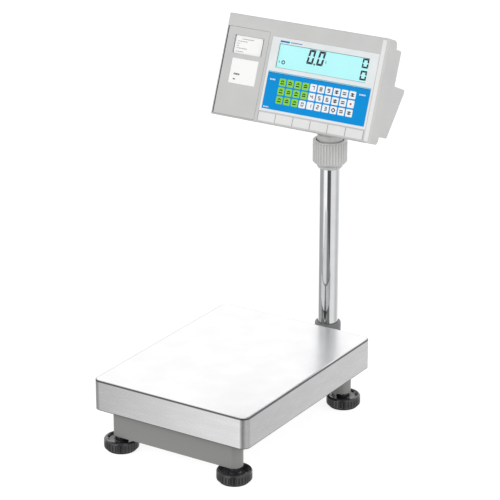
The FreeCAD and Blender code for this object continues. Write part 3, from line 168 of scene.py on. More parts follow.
def rounded_rectangle(half_x, half_y, radius, z, steps=ARC_STEPS, centre=(0.0, 0.0)):
    """Ring of points round a rectangle with rounded corners, anticlockwise from above."""
    ring = []
    for quarter, (side, end) in enumerate(((1, 1), (-1, 1), (-1, -1), (1, -1))):
        for k in range(steps + 1):
            angle = (quarter + k / steps) * pi / 2
            ring.append((centre[0] + side * (half_x - radius) + radius * cos(angle),
                         centre[1] + end * (half_y - radius) + radius * sin(angle), z))
    return ring


def circle(radius, z, centre, count):
    """Ring of points round a circle, anticlockwise from above."""
    return [(centre[0] + radius * cos(2 * pi * k / count), centre[1] + radius * sin(2 * pi * k / count), z)
            for k in range(count)]


def quarter_arc(steps=ARC_STEPS):
    """(inset, drop) shares of a radius round a quarter turn, from flat to upright."""
    return [(1 - sin(k / steps * pi / 2), 1 - cos(k / steps * pi / 2)) for k in range(steps + 1)]


class Plates:
    """Thin flat shapes on the head's face, gathered into one mesh."""

    def __init__(self, near, far):
        self.near = near
        self.far = far
        self.points = []
        self.faces = []

    def add(self, outline):
        """A plate over an outline of (x, up) points, given anticlockwise as seen from the front."""
        start = len(self.points)
        count = len(outline)
        for depth in (self.near, self.far):
            self.points += [(x, depth, up) for x, up in outline]
        self.faces.append(tuple(start + k for k in range(count)))
        self.faces.append(tuple(start + count + k for k in reversed(range(count))))
        for k in range(count):
            after = (k + 1) % count
            self.faces.append((start + after, start + k, start + count + k, start + count + after))

    def bar(self, x0, x1, up0, up1):
        """Rectangle with level and upright sides."""
        self.add([(x0, up0), (x1, up0), (x1, up1), (x0, up1)])

    def stroke(self, start, end, width):
        """Straight stroke between two (x, up) points."""
        (x0, u0), (x1, u1) = start, end
        angle = atan2(u1 - u0, x1 - x0) + pi / 2
        dx = width / 2 * cos(angle)
        du = width / 2 * sin(angle)
        self.add([(x0 - dx, u0 - du), (x1 - dx, u1 - du), (x1 + dx, u1 + du), (x0 + dx, u0 + du)])

    def ring(self, x, up, radius, width, count=20):
        """Ring of a given outer radius and line width."""
        for k in range(count):
            a0 = 2 * pi * k / count
            a1 = 2 * pi * (k + 1) / count
            inner = radius - width
            self.add([(x + reach * cos(angle), up + reach * sin(angle))
                      for reach, angle in ((inner, a0), (radius, a0), (radius, a1), (inner, a1))])

    def piece(self, name, body, material):
        """The plates so far as one mesh object."""
        return add_piece(name, self.points, self.faces, body, material, place=HEAD.point)


# ---------------------------------------------------------------- materials
class Finish:
    """A Principled material whose patterns follow the piece's own coordinates, in metres."""

    # Noise seldom leaves this range, so patterns are stretched over it.
    NOISE_LOW = 0.3
    NOISE_HIGH = 0.7
    HOLLOW_SAMPLES = 8

    def __init__(self, name, colour, roughness, metallic=0.0, **constants):
        self.material = bpy.data.materials.new(name)
        self.material.use_nodes = True
        self.tree = self.material.node_tree
        self.shader = self.tree.nodes["Principled BSDF"]
        self.colour = colour
        self.shader.inputs["Base Color"].default_value = (*colour, 1)
        self.shader.inputs["Roughness"].default_value = roughness
        self.shader.inputs["Metallic"].default_value = metallic
        for socket, value in constants.items():
            self.shader.inputs[socket.replace("_", " ")].default_value = value
        self.coordinates = self.tree.nodes.new("ShaderNodeTexCoord")

    def link(self, source, target):
        self.tree.links.new(source, target)

    def noise(self, size, detail=2.0, stretch=(1.0, 1.0, 1.0), seed=0.0):
        """Noise whose features are about size metres, times the stretch along each axis."""
        mapping = self.tree.nodes.new("ShaderNodeMapping")
        mapping.inputs["Scale"].default_value = [1 / (size * s) for s in stretch]
        mapping.inputs["Location"].default_value = (seed, seed, seed)
        noise = self.tree.nodes.new("ShaderNodeTexNoise")
        noise.inputs["Scale"].default_value = 1.0
        noise.inputs["Detail"].default_value = detail
        self.link(self.coordinates.outputs["Object"], mapping.inputs["Vector"])
        self.link(mapping.outputs["Vector"], noise.inputs["Vector"])
        return noise.outputs["Fac"]

    def spread(self, factor, low, high, start=NOISE_LOW, stop=NOISE_HIGH):
        """A pattern's middle range stretched over the values from low to high."""
        node = self.tree.nodes.new("ShaderNodeMapRange")
        node.inputs["From Min"].default_value = start
        node.inputs["From Max"].default_value = stop
        node.inputs["To Min"].default_value = low
        node.inputs["To Max"].default_value = high
        self.link(factor, node.inputs["Value"])
        return node.outputs["Result"]

    def mix(self, factor, first, second):
        """First pattern where the factor is 0, second where it is 1."""
        node = self.tree.nodes.new("ShaderNodeMix")
        self.link(factor, node.inputs["Factor"])
        self.link(first, node.inputs[2])
        self.link(second, node.inputs[3])
        return node.outputs[0]

    def shade(self, factor, low, high, tint=(1.0, 1.0, 1.0)):
        """Colour varied by a pattern, from low to high times the base colour, tinted at the high end."""
        ramp = self.tree.nodes.new("ShaderNodeValToRGB")
        ramp.color_ramp.elements[0].position = self.NOISE_LOW
        ramp.color_ramp.elements[1].position = self.NOISE_HIGH
        dark = [c * low for c in self.colour]
        pale = [min(1.0, c * high * t) for c, t in zip(self.colour, tint)]
        ramp.color_ramp.elements[0].color = (*dark, 1)
        ramp.color_ramp.elements[1].color = (*pale, 1)
        self.link(factor, ramp.inputs["Fac"])
        self.link(ramp.outputs["Color"], self.shader.inputs["Base Color"])

    def tone(self, factor, low, high, start=0.0, stop=1.0):
        """Colour so far, times a value that is low where the pattern is 0 and high where it is 1."""
        node = self.tree.nodes.new("ShaderNodeMix")
        node.data_type = "RGBA"
        node.blend_type = "MULTIPLY"
        node.inputs[0].default_value = 1.0
        ramp = self.tree.nodes.new("ShaderNodeValToRGB")
        ramp.color_ramp.elements[0].position = start
        ramp.color_ramp.elements[1].position = stop
        ramp.color_ramp.elements[0].color = (low, low, low, 1)
        ramp.color_ramp.elements[1].color = (high, high, high, 1)
        socket = self.shader.inputs["Base Color"]
        if socket.links:
            self.link(socket.links[0].from_socket, node.inputs[6])
        else:
            node.inputs[6].default_value = (*self.colour, 1)
        self.link(factor, ramp.inputs["Fac"])
        self.link(ramp.outputs["Color"], node.inputs[7])
        self.link(node.outputs[2], socket)

    def painted_shade_in_hollows(self, reach, low, start=0.35, stop=0.95):
        """Painted shade: grooves and corners narrower than reach, in metres, are darkened where shade would
        fall.
        """
        node = self.tree.nodes.new("ShaderNodeAmbientOcclusion")
        node.inputs["Distance"].default_value = reach
        node.samples = self.HOLLOW_SAMPLES
        self.tone(node.outputs["AO"], low, 1.0, start, stop)

    def sums(self, kind, first, second=0.0):
        """One step of arithmetic on patterns or numbers."""
        node = self.tree.nodes.new("ShaderNodeMath")
        node.operation = kind
        for socket, value in ((node.inputs[0], first), (node.inputs[1], second)):
            if isinstance(value, float):
                socket.default_value = value
            else:
                self.link(value, socket)
        return node.outputs["Value"]

    def axis(self, source, letter):
        """One component of the place on the piece, as Object, or of the way it faces, as Normal."""
        split = self.tree.nodes.new("ShaderNodeSeparateXYZ")
        self.link(self.coordinates.outputs[source], split.inputs["Vector"])
        return split.outputs[letter]

    def folds(self):
        """Where a folded sheet turns an upright corner, from 0 to 1, by the surface's own direction."""
        turn = self.sums("MULTIPLY", self.axis("Normal", "X"), self.axis("Normal", "Y"))
        return self.spread(self.sums("ABSOLUTE", turn), 0.0, 1.0, start=0.10, stop=0.30)

    def rim(self):
        """Where a folded sheet bends over from its top into its skirt, from 0 to 1."""
        slope = self.sums("PINGPONG", self.axis("Normal", "Z"), 0.5)
        return self.spread(slope, 0.0, 1.0, start=0.006, stop=0.03)

    def border(self, half_x, half_y, width):
        """From 0 to 1 over the last width, in metres, before the edges of a sheet centred on the origin."""
        reaches = []
        for letter, half in (("X", half_x), ("Y", half_y)):
            size = self.sums("ABSOLUTE", self.axis("Object", letter))
            reaches.append(self.spread(size, 0.0, 1.0, start=half - width, stop=half))
        return self.sums("MAXIMUM", *reaches)

    def rough(self, factor, low, high):
        """Roughness that goes from low to high with a pattern."""
        self.link(self.spread(factor, low, high), self.shader.inputs["Roughness"])

    def bump(self, factor, height):
        """Relief of a height in metres."""
        node = self.tree.nodes.new("ShaderNodeBump")
        node.inputs["Strength"].default_value = 1.0
        node.inputs["Distance"].default_value = height
        self.link(factor, node.inputs["Height"])
        self.link(node.outputs["Normal"], self.shader.inputs["Normal"])


def pan_steel():
    """Brushed stainless sheet: lines run round the skirt, and front to back on the top, with painted dark
    reflections at its corners and along its top edges.
    """
    finish = Finish("pan_steel", linear(219, 219, 220), 0.27, metallic=1.0)
    round_skirt = finish.noise(0.0006, detail=3.0, stretch=(90.0, 90.0, 1.0))
    along_top = finish.noise(0.0006, detail=3.0, stretch=(1.0, 110.0, 1.0), seed=3.0)
    patches = finish.noise(0.030, detail=1.0, stretch=(1.6, 1.6, 0.35), seed=7.0)
    on_top = finish.spread(finish.axis("Normal", "Z"), 0.0, 1.0, start=0.5, stop=0.9)
    lines = finish.mix(on_top, round_skirt, along_top)
    finish.shade(finish.mix(finish.spread(patches, 0.35, 0.65), lines, patches), low=0.93, high=1.045)
    folds = finish.folds()
    # Painted reflection: the skirt's upright corners are darker, as a dark band of the studio would show in
    # them.
    finish.tone(folds, low=1.0, high=0.76)
    # Painted reflection: a dark line where the top bends into the skirt, for the dark ceiling seen in the
    # bend.
    finish.tone(finish.rim(), low=1.0, high=0.22)
    # Painted reflection: a dark line on the top along its edges, over the last few millimetres.
    low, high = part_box("weighing_pan")
    border = finish.border((high.x - low.x) / 2, (high.y - low.y) / 2, PAN_EDGE_SHADE)
    finish.tone(finish.sums("MULTIPLY", border, on_top), low=1.0, high=0.60)
    brushed = finish.mix(on_top, finish.spread(lines, 0.22, 0.32), finish.spread(lines, 0.18, 0.26))
    gloss = finish.mix(folds, brushed, finish.spread(lines, 0.42, 0.5))
    finish.link(gloss, finish.shader.inputs["Roughness"])
    finish.bump(lines, height=0.000007)
    return finish.material


def moulded_plastic(name, colour, roughness, grain=0.0007, depth=0.00002, mottle=0.03, hollow_shade=0.45,
                    hollow_shade_reach=0.003, **constants):
    """Moulded plastic with a fine spark-eroded grain, a faint unevenness of tone and painted shade in its
    grooves and corners.
    """
    finish = Finish(name, colour, roughness, **constants)
    fine = finish.noise(grain, detail=2.0)
    broad = finish.noise(0.05, detail=2.0, seed=5.0)
    finish.shade(broad, low=1 - mottle, high=1 + mottle)
    # Painted shade: grooves and corners are darkened down to the given shade value.
    finish.painted_shade_in_hollows(hollow_shade_reach, hollow_shade)
    finish.rough(fine, low=roughness - 0.06, high=roughness + 0.06)
    finish.bump(fine, height=depth)
    return finish.material


def painted_metal(name, colour, roughness):
    """Powder coat: a close orange peel with a few darker specks, and painted shade in its hollows and under
    overhangs.
    """
    finish = Finish(name, colour, roughness)
    peel = finish.noise(0.0011, detail=1.0)
    specks = finish.noise(0.00035, detail=1.0, seed=2.0)
    finish.shade(finish.spread(specks, 0.0, 1.0, start=0.25, stop=0.5), low=0.90, high=1.03)
    # Painted shade: darker up to 24 mm into hollows, as under the pan's skirt.
    finish.painted_shade_in_hollows(0.024, 0.42, start=0.2, stop=0.8)
    finish.rough(peel, low=roughness - 0.05, high=roughness + 0.07)
    finish.bump(peel, height=0.00003)
    return finish.material


def plated_metal(name, colour, roughness, stretch=(1.0, 1.0, 1.0)):
    """Plated or machined metal with fine marks and slightly uneven brightness."""
    finish = Finish(name, colour, roughness, metallic=1.0)
    marks = finish.noise(0.0004, detail=3.0, stretch=stretch)
    cloud = finish.noise(0.006, detail=3.0, seed=4.0)
    finish.shade(cloud, low=0.88, high=1.04, tint=(1.0, 0.995, 0.98))
    finish.rough(marks, low=roughness - 0.06, high=roughness + 0.12)
    finish.bump(marks, height=0.000008)
    return finish.material


def column_chrome():
    """Chromed tube with the faint draw lines of polished tube."""
    finish = Finish("column_chrome", linear(228, 229, 231), 0.07, metallic=1.0)
    draw = finish.noise(0.0009, detail=3.0, stretch=(1.0, 1.0, 260.0))
    cloud = finish.noise(0.02, detail=2.0, seed=6.0)
    finish.shade(cloud, low=0.97, high=1.02)
    finish.rough(draw, low=0.05, high=0.11)
    finish.bump(draw, height=0.000004)
    return finish.material


def rubber(name, colour, roughness):
    """Matt rubber with fine pores and uneven dust."""
    finish = Finish(name, colour, roughness)
    pores = finish.noise(0.0005, detail=3.0)
    dust = finish.noise(0.008, detail=3.0, seed=8.0)
    finish.shade(dust, low=0.85, high=1.35)
    finish.rough(pores, low=roughness - 0.08, high=roughness + 0.08)
    finish.bump(pores, height=0.00004)
    return finish.material


def printed_film(name, colour, roughness=0.45, gloss=0.15):
    """Fine-textured polyester film, printed from behind."""
    finish = Finish(name, colour, roughness, Specular_IOR_Level=gloss)
    velvet = finish.noise(0.00025, detail=1.0)
    tone = finish.noise(0.03, detail=1.0, seed=1.0)
    finish.shade(tone, low=0.97, high=1.03)
    finish.rough(velvet, low=roughness - 0.05, high=roughness + 0.05)
    finish.bump(velvet, height=0.000006)
    return finish.material


def paper(name, colour):
    """Coated paper with faint fibres."""
    finish = Finish(name, colour, 0.55)
    fibres = finish.noise(0.0006, detail=4.0, stretch=(1.0, 3.0, 1.0))
    finish.shade(fibres, low=0.97, high=1.01)
    finish.bump(fibres, height=0.00001)
    return finish.material


def lit_display():
    """Backlit liquid crystal: light comes through it, a little uneven from its lamps."""
    finish = Finish("lcd_glass", (0.05, 0.07, 0.07), 0.3, Emission_Strength=0.92)
    lamps = finish.noise(0.045, detail=1.0)
    ramp = finish.tree.nodes.new("ShaderNodeValToRGB")
    ramp.color_ramp.elements[0].color = (*linear(170, 245, 247), 1)
    ramp.color_ramp.elements[1].color = (*linear(180, 252, 254), 1)
    finish.link(lamps, ramp.inputs["Fac"])
    finish.link(ramp.outputs["Color"], finish.shader.inputs["Emission Color"])
    return finish.material


def clear_window(name, colour, alpha):
    """Thin clear plastic with faint smears."""
    finish = Finish(name, colour, 0.06, Alpha=alpha)
    smears = finish.noise(0.02, detail=2.0)
    finish.rough(smears, low=0.04, high=0.10)
    return finish.material


def circuit_board():
    """Green solder mask with paler tracks in two directions."""
    finish = Finish("circuit_board", (0.02, 0.16, 0.06), 0.35)
    across = finish.noise(0.0012, detail=0.0, stretch=(1.0, 18.0, 18.0))
    finish.shade(finish.spread(across, 0.0, 1.0, start=0.55, stop=0.6), low=0.8, high=2.4)
    finish.bump(across, height=0.00002)
    return finish.material


def vial():
    """Green spirit in its clear cup."""
    finish = Finish("vial_plastic", (0.62, 0.70, 0.42), 0.08, Coat_Weight=0.6)
    swirl = finish.noise(0.004, detail=1.0)
    finish.shade(swirl, low=0.92, high=1.05)
    finish.rough(swirl, low=0.05, high=0.12)
    return finish.material


def make_slot_materials():
    """One material for each of the record's slots, under the slot's name."""
    return {
        "pan_steel": pan_steel(),
        "frame_paint": painted_metal("frame_paint", linear(140, 140, 138), 0.42),
        "bracket_paint": painted_metal("bracket_paint", linear(134, 134, 132), 0.45),
        "collar_plastic": moulded_plastic("collar_plastic", linear(118, 118, 120), 0.36, hollow_shade=0.12,
                                          hollow_shade_reach=0.006),
        "sole_rubber": rubber("sole_rubber", (0.018, 0.018, 0.018), 0.7),
        "knob_plastic": moulded_plastic("knob_plastic", (0.024, 0.024, 0.028), 0.15, grain=0.0012,
                                        depth=0.000008, mottle=0.15, hollow_shade=0.06, hollow_shade_reach=0.004,
                                        Specular_IOR_Level=0.8),
        "zinc_steel": plated_metal("zinc_steel", (0.62, 0.63, 0.62), 0.30),
        "cell_aluminium": plated_metal("cell_aluminium", (0.78, 0.79, 0.80), 0.33, stretch=(8.0, 60.0, 1.0)),
        "column_chrome": column_chrome(),
        "nut_plastic": moulded_plastic("nut_plastic", linear(212, 212, 211), 0.36, hollow_shade=0.28,
                                       hollow_shade_reach=0.0025),
        "head_plastic": moulded_plastic("head_plastic", linear(203, 203, 202), 0.46),
        "overlay_film": printed_film("overlay_film", linear(233, 237, 238)),
        "window_plastic": clear_window("window_plastic", (0.9, 0.97, 0.97), 0.03),
        "lcd_glass": lit_display(),
        "diffuser_plastic": moulded_plastic("diffuser_plastic", (0.85, 0.88, 0.88), 0.4),
        "circuit_board": circuit_board(),
        "circuit_film": printed_film("circuit_film", (0.52, 0.48, 0.28)),
        "dome_steel": plated_metal("dome_steel", (0.74, 0.72, 0.68), 0.25),
        "battery_sleeve": printed_film("battery_sleeve", (0.02, 0.08, 0.30), 0.3),
        "black_plastic": moulded_plastic("black_plastic", (0.02, 0.02, 0.021), 0.4, mottle=0.1),
        "paper_white": paper("paper_white", linear(254, 254, 253)),
        "lead_jacket": rubber("lead_jacket", (0.02, 0.02, 0.02), 0.45),
        "bearing_plastic": moulded_plastic("bearing_plastic", (0.05, 0.05, 0.052), 0.4),
        "vial_plastic": vial(),
    }


MATERIALS = make_slot_materials()


def dress_cad_nodes():
    """Every CAD node takes the detailed material of its slot."""
    for node in frame["nodes"].values():
        for holder in node.material_slots:
            slot = holder.material.name.split(".")[0] if holder.material else None
            if slot in MATERIALS:
                holder.material = MATERIALS[slot]


# ---------------------------------------------------------------- camera, light and floor
def make_camera():
    """Long lens that looks down at the object from the front right."""
    azimuth = radians(CAMERA_AZIMUTH)
    elevation = radians(CAMERA_ELEVATION)
    ahead = Vector((-sin(azimuth) * cos(elevation), cos(azimuth) * cos(elevation), -sin(elevation)))
    right = Vector((cos(azimuth), sin(azimuth), 0))
    above = right.cross(ahead)
    data = bpy.data.cameras.new("camera")
    data.lens = CAMERA_LENS
    data.sensor_width = SENSOR_WIDTH
    data.clip_end = CAMERA_REACH
    camera = bpy.data.objects.new("camera", data)
    turn = Matrix((right, above, -ahead)).transposed().to_4x4()
    camera.matrix_world = Matrix.Translation(CAMERA_PLACE) @ turn
    bpy.context.scene.collection.objects.link(camera)
    bpy.context.scene.camera = camera


def add_softbox(name, place, target, width, height, power):
    """Area light that faces a target and is hidden from the camera itself."""
    data = bpy.data.lights.new(name, "AREA")
    data.shape = "RECTANGLE"
    data.size = width
    data.size_y = height
    data.energy = power
    light = bpy.data.objects.new(name, data)
    light.location = place
    light.rotation_mode = "QUATERNION"
    light.rotation_quaternion = (Vector(target) - Vector(place)).to_track_quat("-Z", "Y")
    light.visible_camera = False
    light.visible_glossy = False
    bpy.context.scene.collection.objects.link(light)


def add_ramp(tree, factor, stops):
    """Smooth grey ramp over (position, value) stops, the values given as shares of the brightest."""
    node = tree.nodes.new("ShaderNodeValToRGB")
    ramp = node.color_ramp
    while len(ramp.elements) < len(stops):
        ramp.elements.new(0.5)
    for element, (position, value) in zip(ramp.elements, stops):
        element.position = position
        element.color = (value, value, value, 1)
    tree.links.new(factor, node.inputs["Fac"])
    return node.outputs["Color"]


def add_background(tree, colour, strength):
    """Background of one colour, or of a pattern's colours."""
    node = tree.nodes.new("ShaderNodeBackground")
    node.inputs["Strength"].default_value = strength
    if isinstance(colour, tuple):
        node.inputs["Color"].default_value = (*colour, 1)
    else:
        tree.links.new(colour, node.inputs["Color"])
    return node.outputs["Background"]


def add_mix(tree, kind, factor, first, second):
    """Mix of two colours or two backgrounds."""
    node = tree.nodes.new(kind)
    if kind == "ShaderNodeMixShader":
        low, high = node.inputs[1], node.inputs[2]
        out = node.outputs[0]
    else:
        node.data_type = "RGBA"
        low, high = node.inputs[6], node.inputs[7]
        out = node.outputs[2]
    tree.links.new(factor, node.inputs[0])
    tree.links.new(first, low)
    tree.links.new(second, high)
    return out


def make_world():
    """White behind the object, a soft even room, and a banded studio for polished metal to reflect."""
    world = bpy.data.worlds.new("studio")
    world.use_nodes = True
    tree = world.node_tree
    output = tree.nodes["World Output"]
    coordinates = tree.nodes.new("ShaderNodeTexCoord").outputs["Generated"]
    split = tree.nodes.new("ShaderNodeSeparateXYZ")
    tree.links.new(coordinates, split.inputs["Vector"])
    # Shares of the way up, from 0 straight down to 1 straight up.
    height = tree.nodes.new("ShaderNodeMapRange")
    height.inputs["From Min"].default_value = -1.0
    tree.links.new(split.outputs["Z"], height.inputs["Value"])
    height = height.outputs["Result"]
    # Shares of the way round, with the front of the studio in the middle.
    turn = tree.nodes.new("ShaderNodeMapping")
    turn.inputs["Rotation"].default_value = (0, 0, pi / 2 - radians(CAMERA_AZIMUTH))
    tree.links.new(coordinates, turn.inputs["Vector"])
    around = tree.nodes.new("ShaderNodeTexGradient")
    around.gradient_type = "RADIAL"
    tree.links.new(turn.outputs["Vector"], around.inputs["Vector"])
    around = around.outputs["Fac"]

    low_walls = add_ramp(tree, around, [(a / 360 + 0.5, value / STUDIO_PEAK) for a, value in LOW_WALLS])
    high_walls = add_ramp(tree, around, [(a / 360 + 0.5, value / STUDIO_PEAK) for a, value in HIGH_WALLS])
    ceiling = add_ramp(tree, height, [(h, CEILING_GLOW / STUDIO_PEAK) for h in (0.0, 1.0)])
    horizon = add_ramp(tree, height, STUDIO_HORIZON)
    walls = add_mix(tree, "ShaderNodeMix", horizon, low_walls, high_walls)
    studio = add_mix(tree, "ShaderNodeMix", add_ramp(tree, height, STUDIO_CEILING), walls, ceiling)
    room = add_ramp(tree, height, ROOM_RISE)

    rays = tree.nodes.new("ShaderNodeLightPath")
    soft = add_background(tree, room, ROOM_STRENGTH)
    gloss = add_background(tree, studio, STUDIO_PEAK)
    white = add_background(tree, (1.0, 1.0, 1.0), 1.0)
    lit = add_mix(tree, "ShaderNodeMixShader", rays.outputs["Is Glossy Ray"], soft, gloss)
    seen = add_mix(tree, "ShaderNodeMixShader", rays.outputs["Is Camera Ray"], lit, white)
    tree.links.new(seen, output.inputs["Surface"])
    bpy.context.scene.world = world


def make_floor():
    """Plain white floor, lit mostly of its own, so that shadows on it stay faint."""
    finish = Finish("studio_floor", (0.3, 0.3, 0.3), 0.8, Specular_IOR_Level=0.0,
                    Emission_Strength=FLOOR_GLOW)
    tone = finish.noise(0.4, detail=2.0)
    finish.shade(tone, low=0.995, high=1.005)
    finish.shader.inputs["Emission Color"].default_value = (1, 1, 1, 1)
    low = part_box("foot_pad_front_left")[0].z / MM
    half = FLOOR_HALF_SIZE / MM
    corners = [(-half, -half, low), (half, -half, low), (half, half, low), (-half, half, low)]
    floor = add_piece("studio_floor", corners, [(0, 1, 2, 3)], None, finish.material)
    floor.visible_glossy = False
    floor.visible_diffuse = False


def make_studio():
    """Everything that lights the object."""
    bpy.context.scene.view_settings.view_transform = "Standard"
    make_world()
    for softbox in SOFTBOXES:
        add_softbox(*softbox)
    make_floor()


# ---------------------------------------------------------------- weighing pan
PAN_CORNER_R = 14.0
PAN_LEAST_R = 0.5
PAN_EDGE_R = 1.9
PAN_BEVEL = 1.8
PAN_BEVEL_DROP = 0.36
PAN_HOLD = 0.8
PAN_SHEET = 1.2


def make_pan():
    """Folded pan with a rounded top edge and a skirt whose bottom edge is eased."""
    low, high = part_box("weighing_pan")
    half_x = (high.x - low.x) / 2 / MM
    half_y = (high.y - low.y) / 2 / MM
    top = high.z / MM
    bottom = low.z / MM
    rings = []

    def add_ring(inset, z):
        radius = max(PAN_CORNER_R - inset, PAN_LEAST_R)
        rings.append(rounded_rectangle(half_x - inset, half_y - inset, radius, z))

    ease = PAN_SHEET / 2
    # The extra rings beside each bend keep the flats between them flat to the eye.
    add_ring(PAN_EDGE_R + PAN_BEVEL + PAN_HOLD, top)
    add_ring(PAN_EDGE_R + PAN_BEVEL, top)
    for inset, drop in quarter_arc():
        add_ring(inset * PAN_EDGE_R, top - PAN_BEVEL_DROP - drop * PAN_EDGE_R)
    add_ring(0.0, top - PAN_BEVEL_DROP - PAN_EDGE_R - PAN_HOLD)
    add_ring(0.0, bottom + ease + PAN_HOLD)
    for k in range(ARC_STEPS + 1):
        angle = k / ARC_STEPS * pi
        add_ring(ease - ease * cos(angle), bottom + ease - ease * sin(angle))
    for drop_share, inset_share in reversed(quarter_arc()):
        add_ring(PAN_SHEET + inset_share * (PAN_EDGE_R - PAN_SHEET),
                 top - PAN_SHEET - drop_share * (PAN_EDGE_R - PAN_SHEET))
    points, faces = loft(rings)
    pan = add_piece("pan", points, faces, "pan", MATERIALS["pan_steel"])
    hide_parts("weighing_pan")


# ---------------------------------------------------------------- column
TUBE_SIDES = 128
TUBE_WALL = 1.5


def make_tube():
    """Chromed tube, open at both ends, with more sides than the CAD mesh."""
    low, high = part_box("column_tube")
    centre = ((low.x + high.x) / 2 / MM, (low.y + high.y) / 2 / MM)
    outer = (high.x - low.x) / 2 / MM
    inner = outer - TUBE_WALL
    foot, top = low.z / MM, high.z / MM
    outline = ((inner, top), (outer, top), (outer, foot), (inner, foot), (inner, top))
    rings = [circle(radius, z, centre, TUBE_SIDES) for radius, z in outline]
    points, faces = loft(rings, False, False)
    tube = add_piece("chromed_tube", points, faces, "base", MATERIALS["column_chrome"])
    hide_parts("column_tube")


# ---------------------------------------------------------------- the head's face
# Places on the face are (left, right, bottom, top) boxes or (x, up) points in the head's frame.
# Depths are behind the face: a smaller depth is nearer to the user.
FACE_SKIN = 0.05
PRINT_RISE = 0.03
SHEET_CORNER_R = 1.5
WINDOW_CORNER_R = 1.0
DASH_LENGTHS = (2.2, 1.3, 3.0, 1.8)
DASH_GAP = 0.7

KEY_FIELD = (-58.8, 145.0, 26.0, 90.0)
FIELD_EDGE = 0.7
FIELD_TOP_EDGE = 0.9
FIELD_LINE = (0.5, 1.9)
SHADE_LEFT = (0.1, 0.8)
SHADE_TOP = (0.6, 0.2)
SILL = (0.3, 0.5)
STRIPES = ((-46.6, -28.0, 143.4, 146.4), (-26.0, -3.0, 144.3, 145.7))
# Notes on the key field: (left, right, bottom, height).
NOTES = ((-52.8, -42.0, 76.6, 2.4), (124.9, 137.0, 77.0, 2.4), (-56.0, -45.6, 28.4, 2.0))


def frame_sheet(outer, outer_r, inner, inner_r, near, far):
    """Points and faces of a flat sheet with one opening, in the head's frame."""
    def ring(field, radius, depth):
        x0, x1, up0, up1 = field
        middle = ((x0 + x1) / 2, (up0 + up1) / 2)
        flat = rounded_rectangle((x1 - x0) / 2, (up1 - up0) / 2, radius, 0.0, centre=middle)
        return [(x, depth, up) for x, up, _ in flat]

    rings = [ring(outer, outer_r, near), ring(outer, outer_r, far), ring(inner, inner_r, far),
             ring(inner, inner_r, near), ring(outer, outer_r, near)]
    return loft(rings, False, False)


def dashes(x0, x1, up, height):
    """Boxes for a line of short marks of uneven length, as far-off print looks."""
    marks = []
    x = x0
    while x < x1:
        reach = DASH_LENGTHS[len(marks) % len(DASH_LENGTHS)]
        marks.append((x, min(x + reach, x1), up, up + height))
        x += reach + DASH_GAP
    return marks


def print_shape(name, film, colour, boxes, depth=FACE_SKIN):
    """Boxes of one colour printed on the face, or at another depth."""
    plates = Plates(depth - PRINT_RISE, depth + PRINT_RISE)
    for box in boxes:
        plates.bar(*box)
    piece = plates.piece(name, "head", printed_film(film, linear(*colour), gloss=0.05))


def make_overlay():
    """Pale film round the display, the blue key field with its lines and notes, and the keys."""
    left, right, _, far, bottom, top = HEAD.box("front_overlay")
    x0, x1, _, _, up0, up1 = HEAD.box("display_window")
    points, faces = frame_sheet((left, right, bottom, top), SHEET_CORNER_R, (x0, x1, up0, up1),
                                WINDOW_CORNER_R, FACE_SKIN, far)
    sheet = add_piece("overlay_sheet", points, faces, "head", MATERIALS["overlay_film"], place=HEAD.point)
    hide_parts("front_overlay")

    field_left, field_right, field_bottom, field_top = KEY_FIELD
    inner_left = field_left + FIELD_EDGE
    inner_top = field_top - FIELD_TOP_EDGE
    line_low, line_high = FIELD_LINE
    print_shape("key_field", "panel_blue", (14, 147, 221),
                [(inner_left, field_right, field_bottom, inner_top)])
    print_shape("key_field_line", "line_cyan", (84, 188, 226),
                [(field_left, field_right, field_top + line_low, field_top + line_high)])
    print_shape("key_field_edge", "line_dark", (20, 92, 140),
                [(field_left, field_right, inner_top, field_top),
                 (field_left, inner_left, field_bottom, field_top)])
    # Painted shadow: a dark line down the window's left side and along its top, where the recess would cast
    # shade.
    print_shape("window_shade", "line_shade", (66, 104, 112),
                [(x0 - SHADE_LEFT[0], x0 + SHADE_LEFT[1], up0, up1),
                 (x0, x1, up1 - SHADE_TOP[0], up1 + SHADE_TOP[1])])
    print_shape("window_sill", "line_sill", (150, 172, 175), [(x0, x1, up0 - SILL[0], up0 + SILL[1])])
    print_shape("plain_stripes", "stripe_blue", (0, 130, 190), STRIPES)
    notes = [mark for note in NOTES for mark in dashes(*note)]
    print_shape("field_notes", "note_white", (226, 240, 250), notes, depth=FACE_SKIN - PRINT_RISE)
    make_keys()


# ---------------------------------------------------------------- keys and their signs
KEY_SIZE = 13.0
KEY_R = 1.4
KEY_BASE = 0.03
KEY_RISE = 0.18
# A key's rim: (distance in from its edge, rise above the film). Its corner tightens by half the distance.
KEY_PROFILE = ((0.0, 0.0), (0.15, 0.10), (0.5, 0.16), (1.1, KEY_RISE))
KEY_TIGHTENING = 0.5
KEY_ARC_STEPS = 5
KEY_PITCH_X = 15.45
KEY_PITCH_UP = 15.55
KEY_FIRST_X = -27.0
KEY_TOP_ROW = 75.3
KEY_COLUMNS = 10
KEY_ROWS = 3
# How many keys are green at the left of each row.
GREEN_KEYS = (4, 4, 3)

# Ink stands this far out of the key's top, and reaches this far into it.
INK_OUT = 0.03
INK_IN = 0.01
LEGEND_WIDTH = 1.6
# Which bars of a seven-segment digit are dark, for each (row, column) that has a digit.
KEY_DIGITS = {(0, 4): "abc", (0, 5): "abcdefg", (0, 6): "abcdfg",
              (1, 4): "bcfg", (1, 5): "acdfg", (1, 6): "acdefg",
              (2, 3): "abcdef", (2, 4): "bc", (2, 5): "abdeg", (2, 6): "abcdg"}
DIGIT_WIDTH = 5.2
DIGIT_HEIGHT = 6.8
DIGIT_BAR = 1.4
STAR_KEY = (1, 9)
STAR_REACH = 2.2
STAR_WIDTH = 1.1
DIAMOND_KEY = (2, 7)
DIAMOND_REACH = 3.6
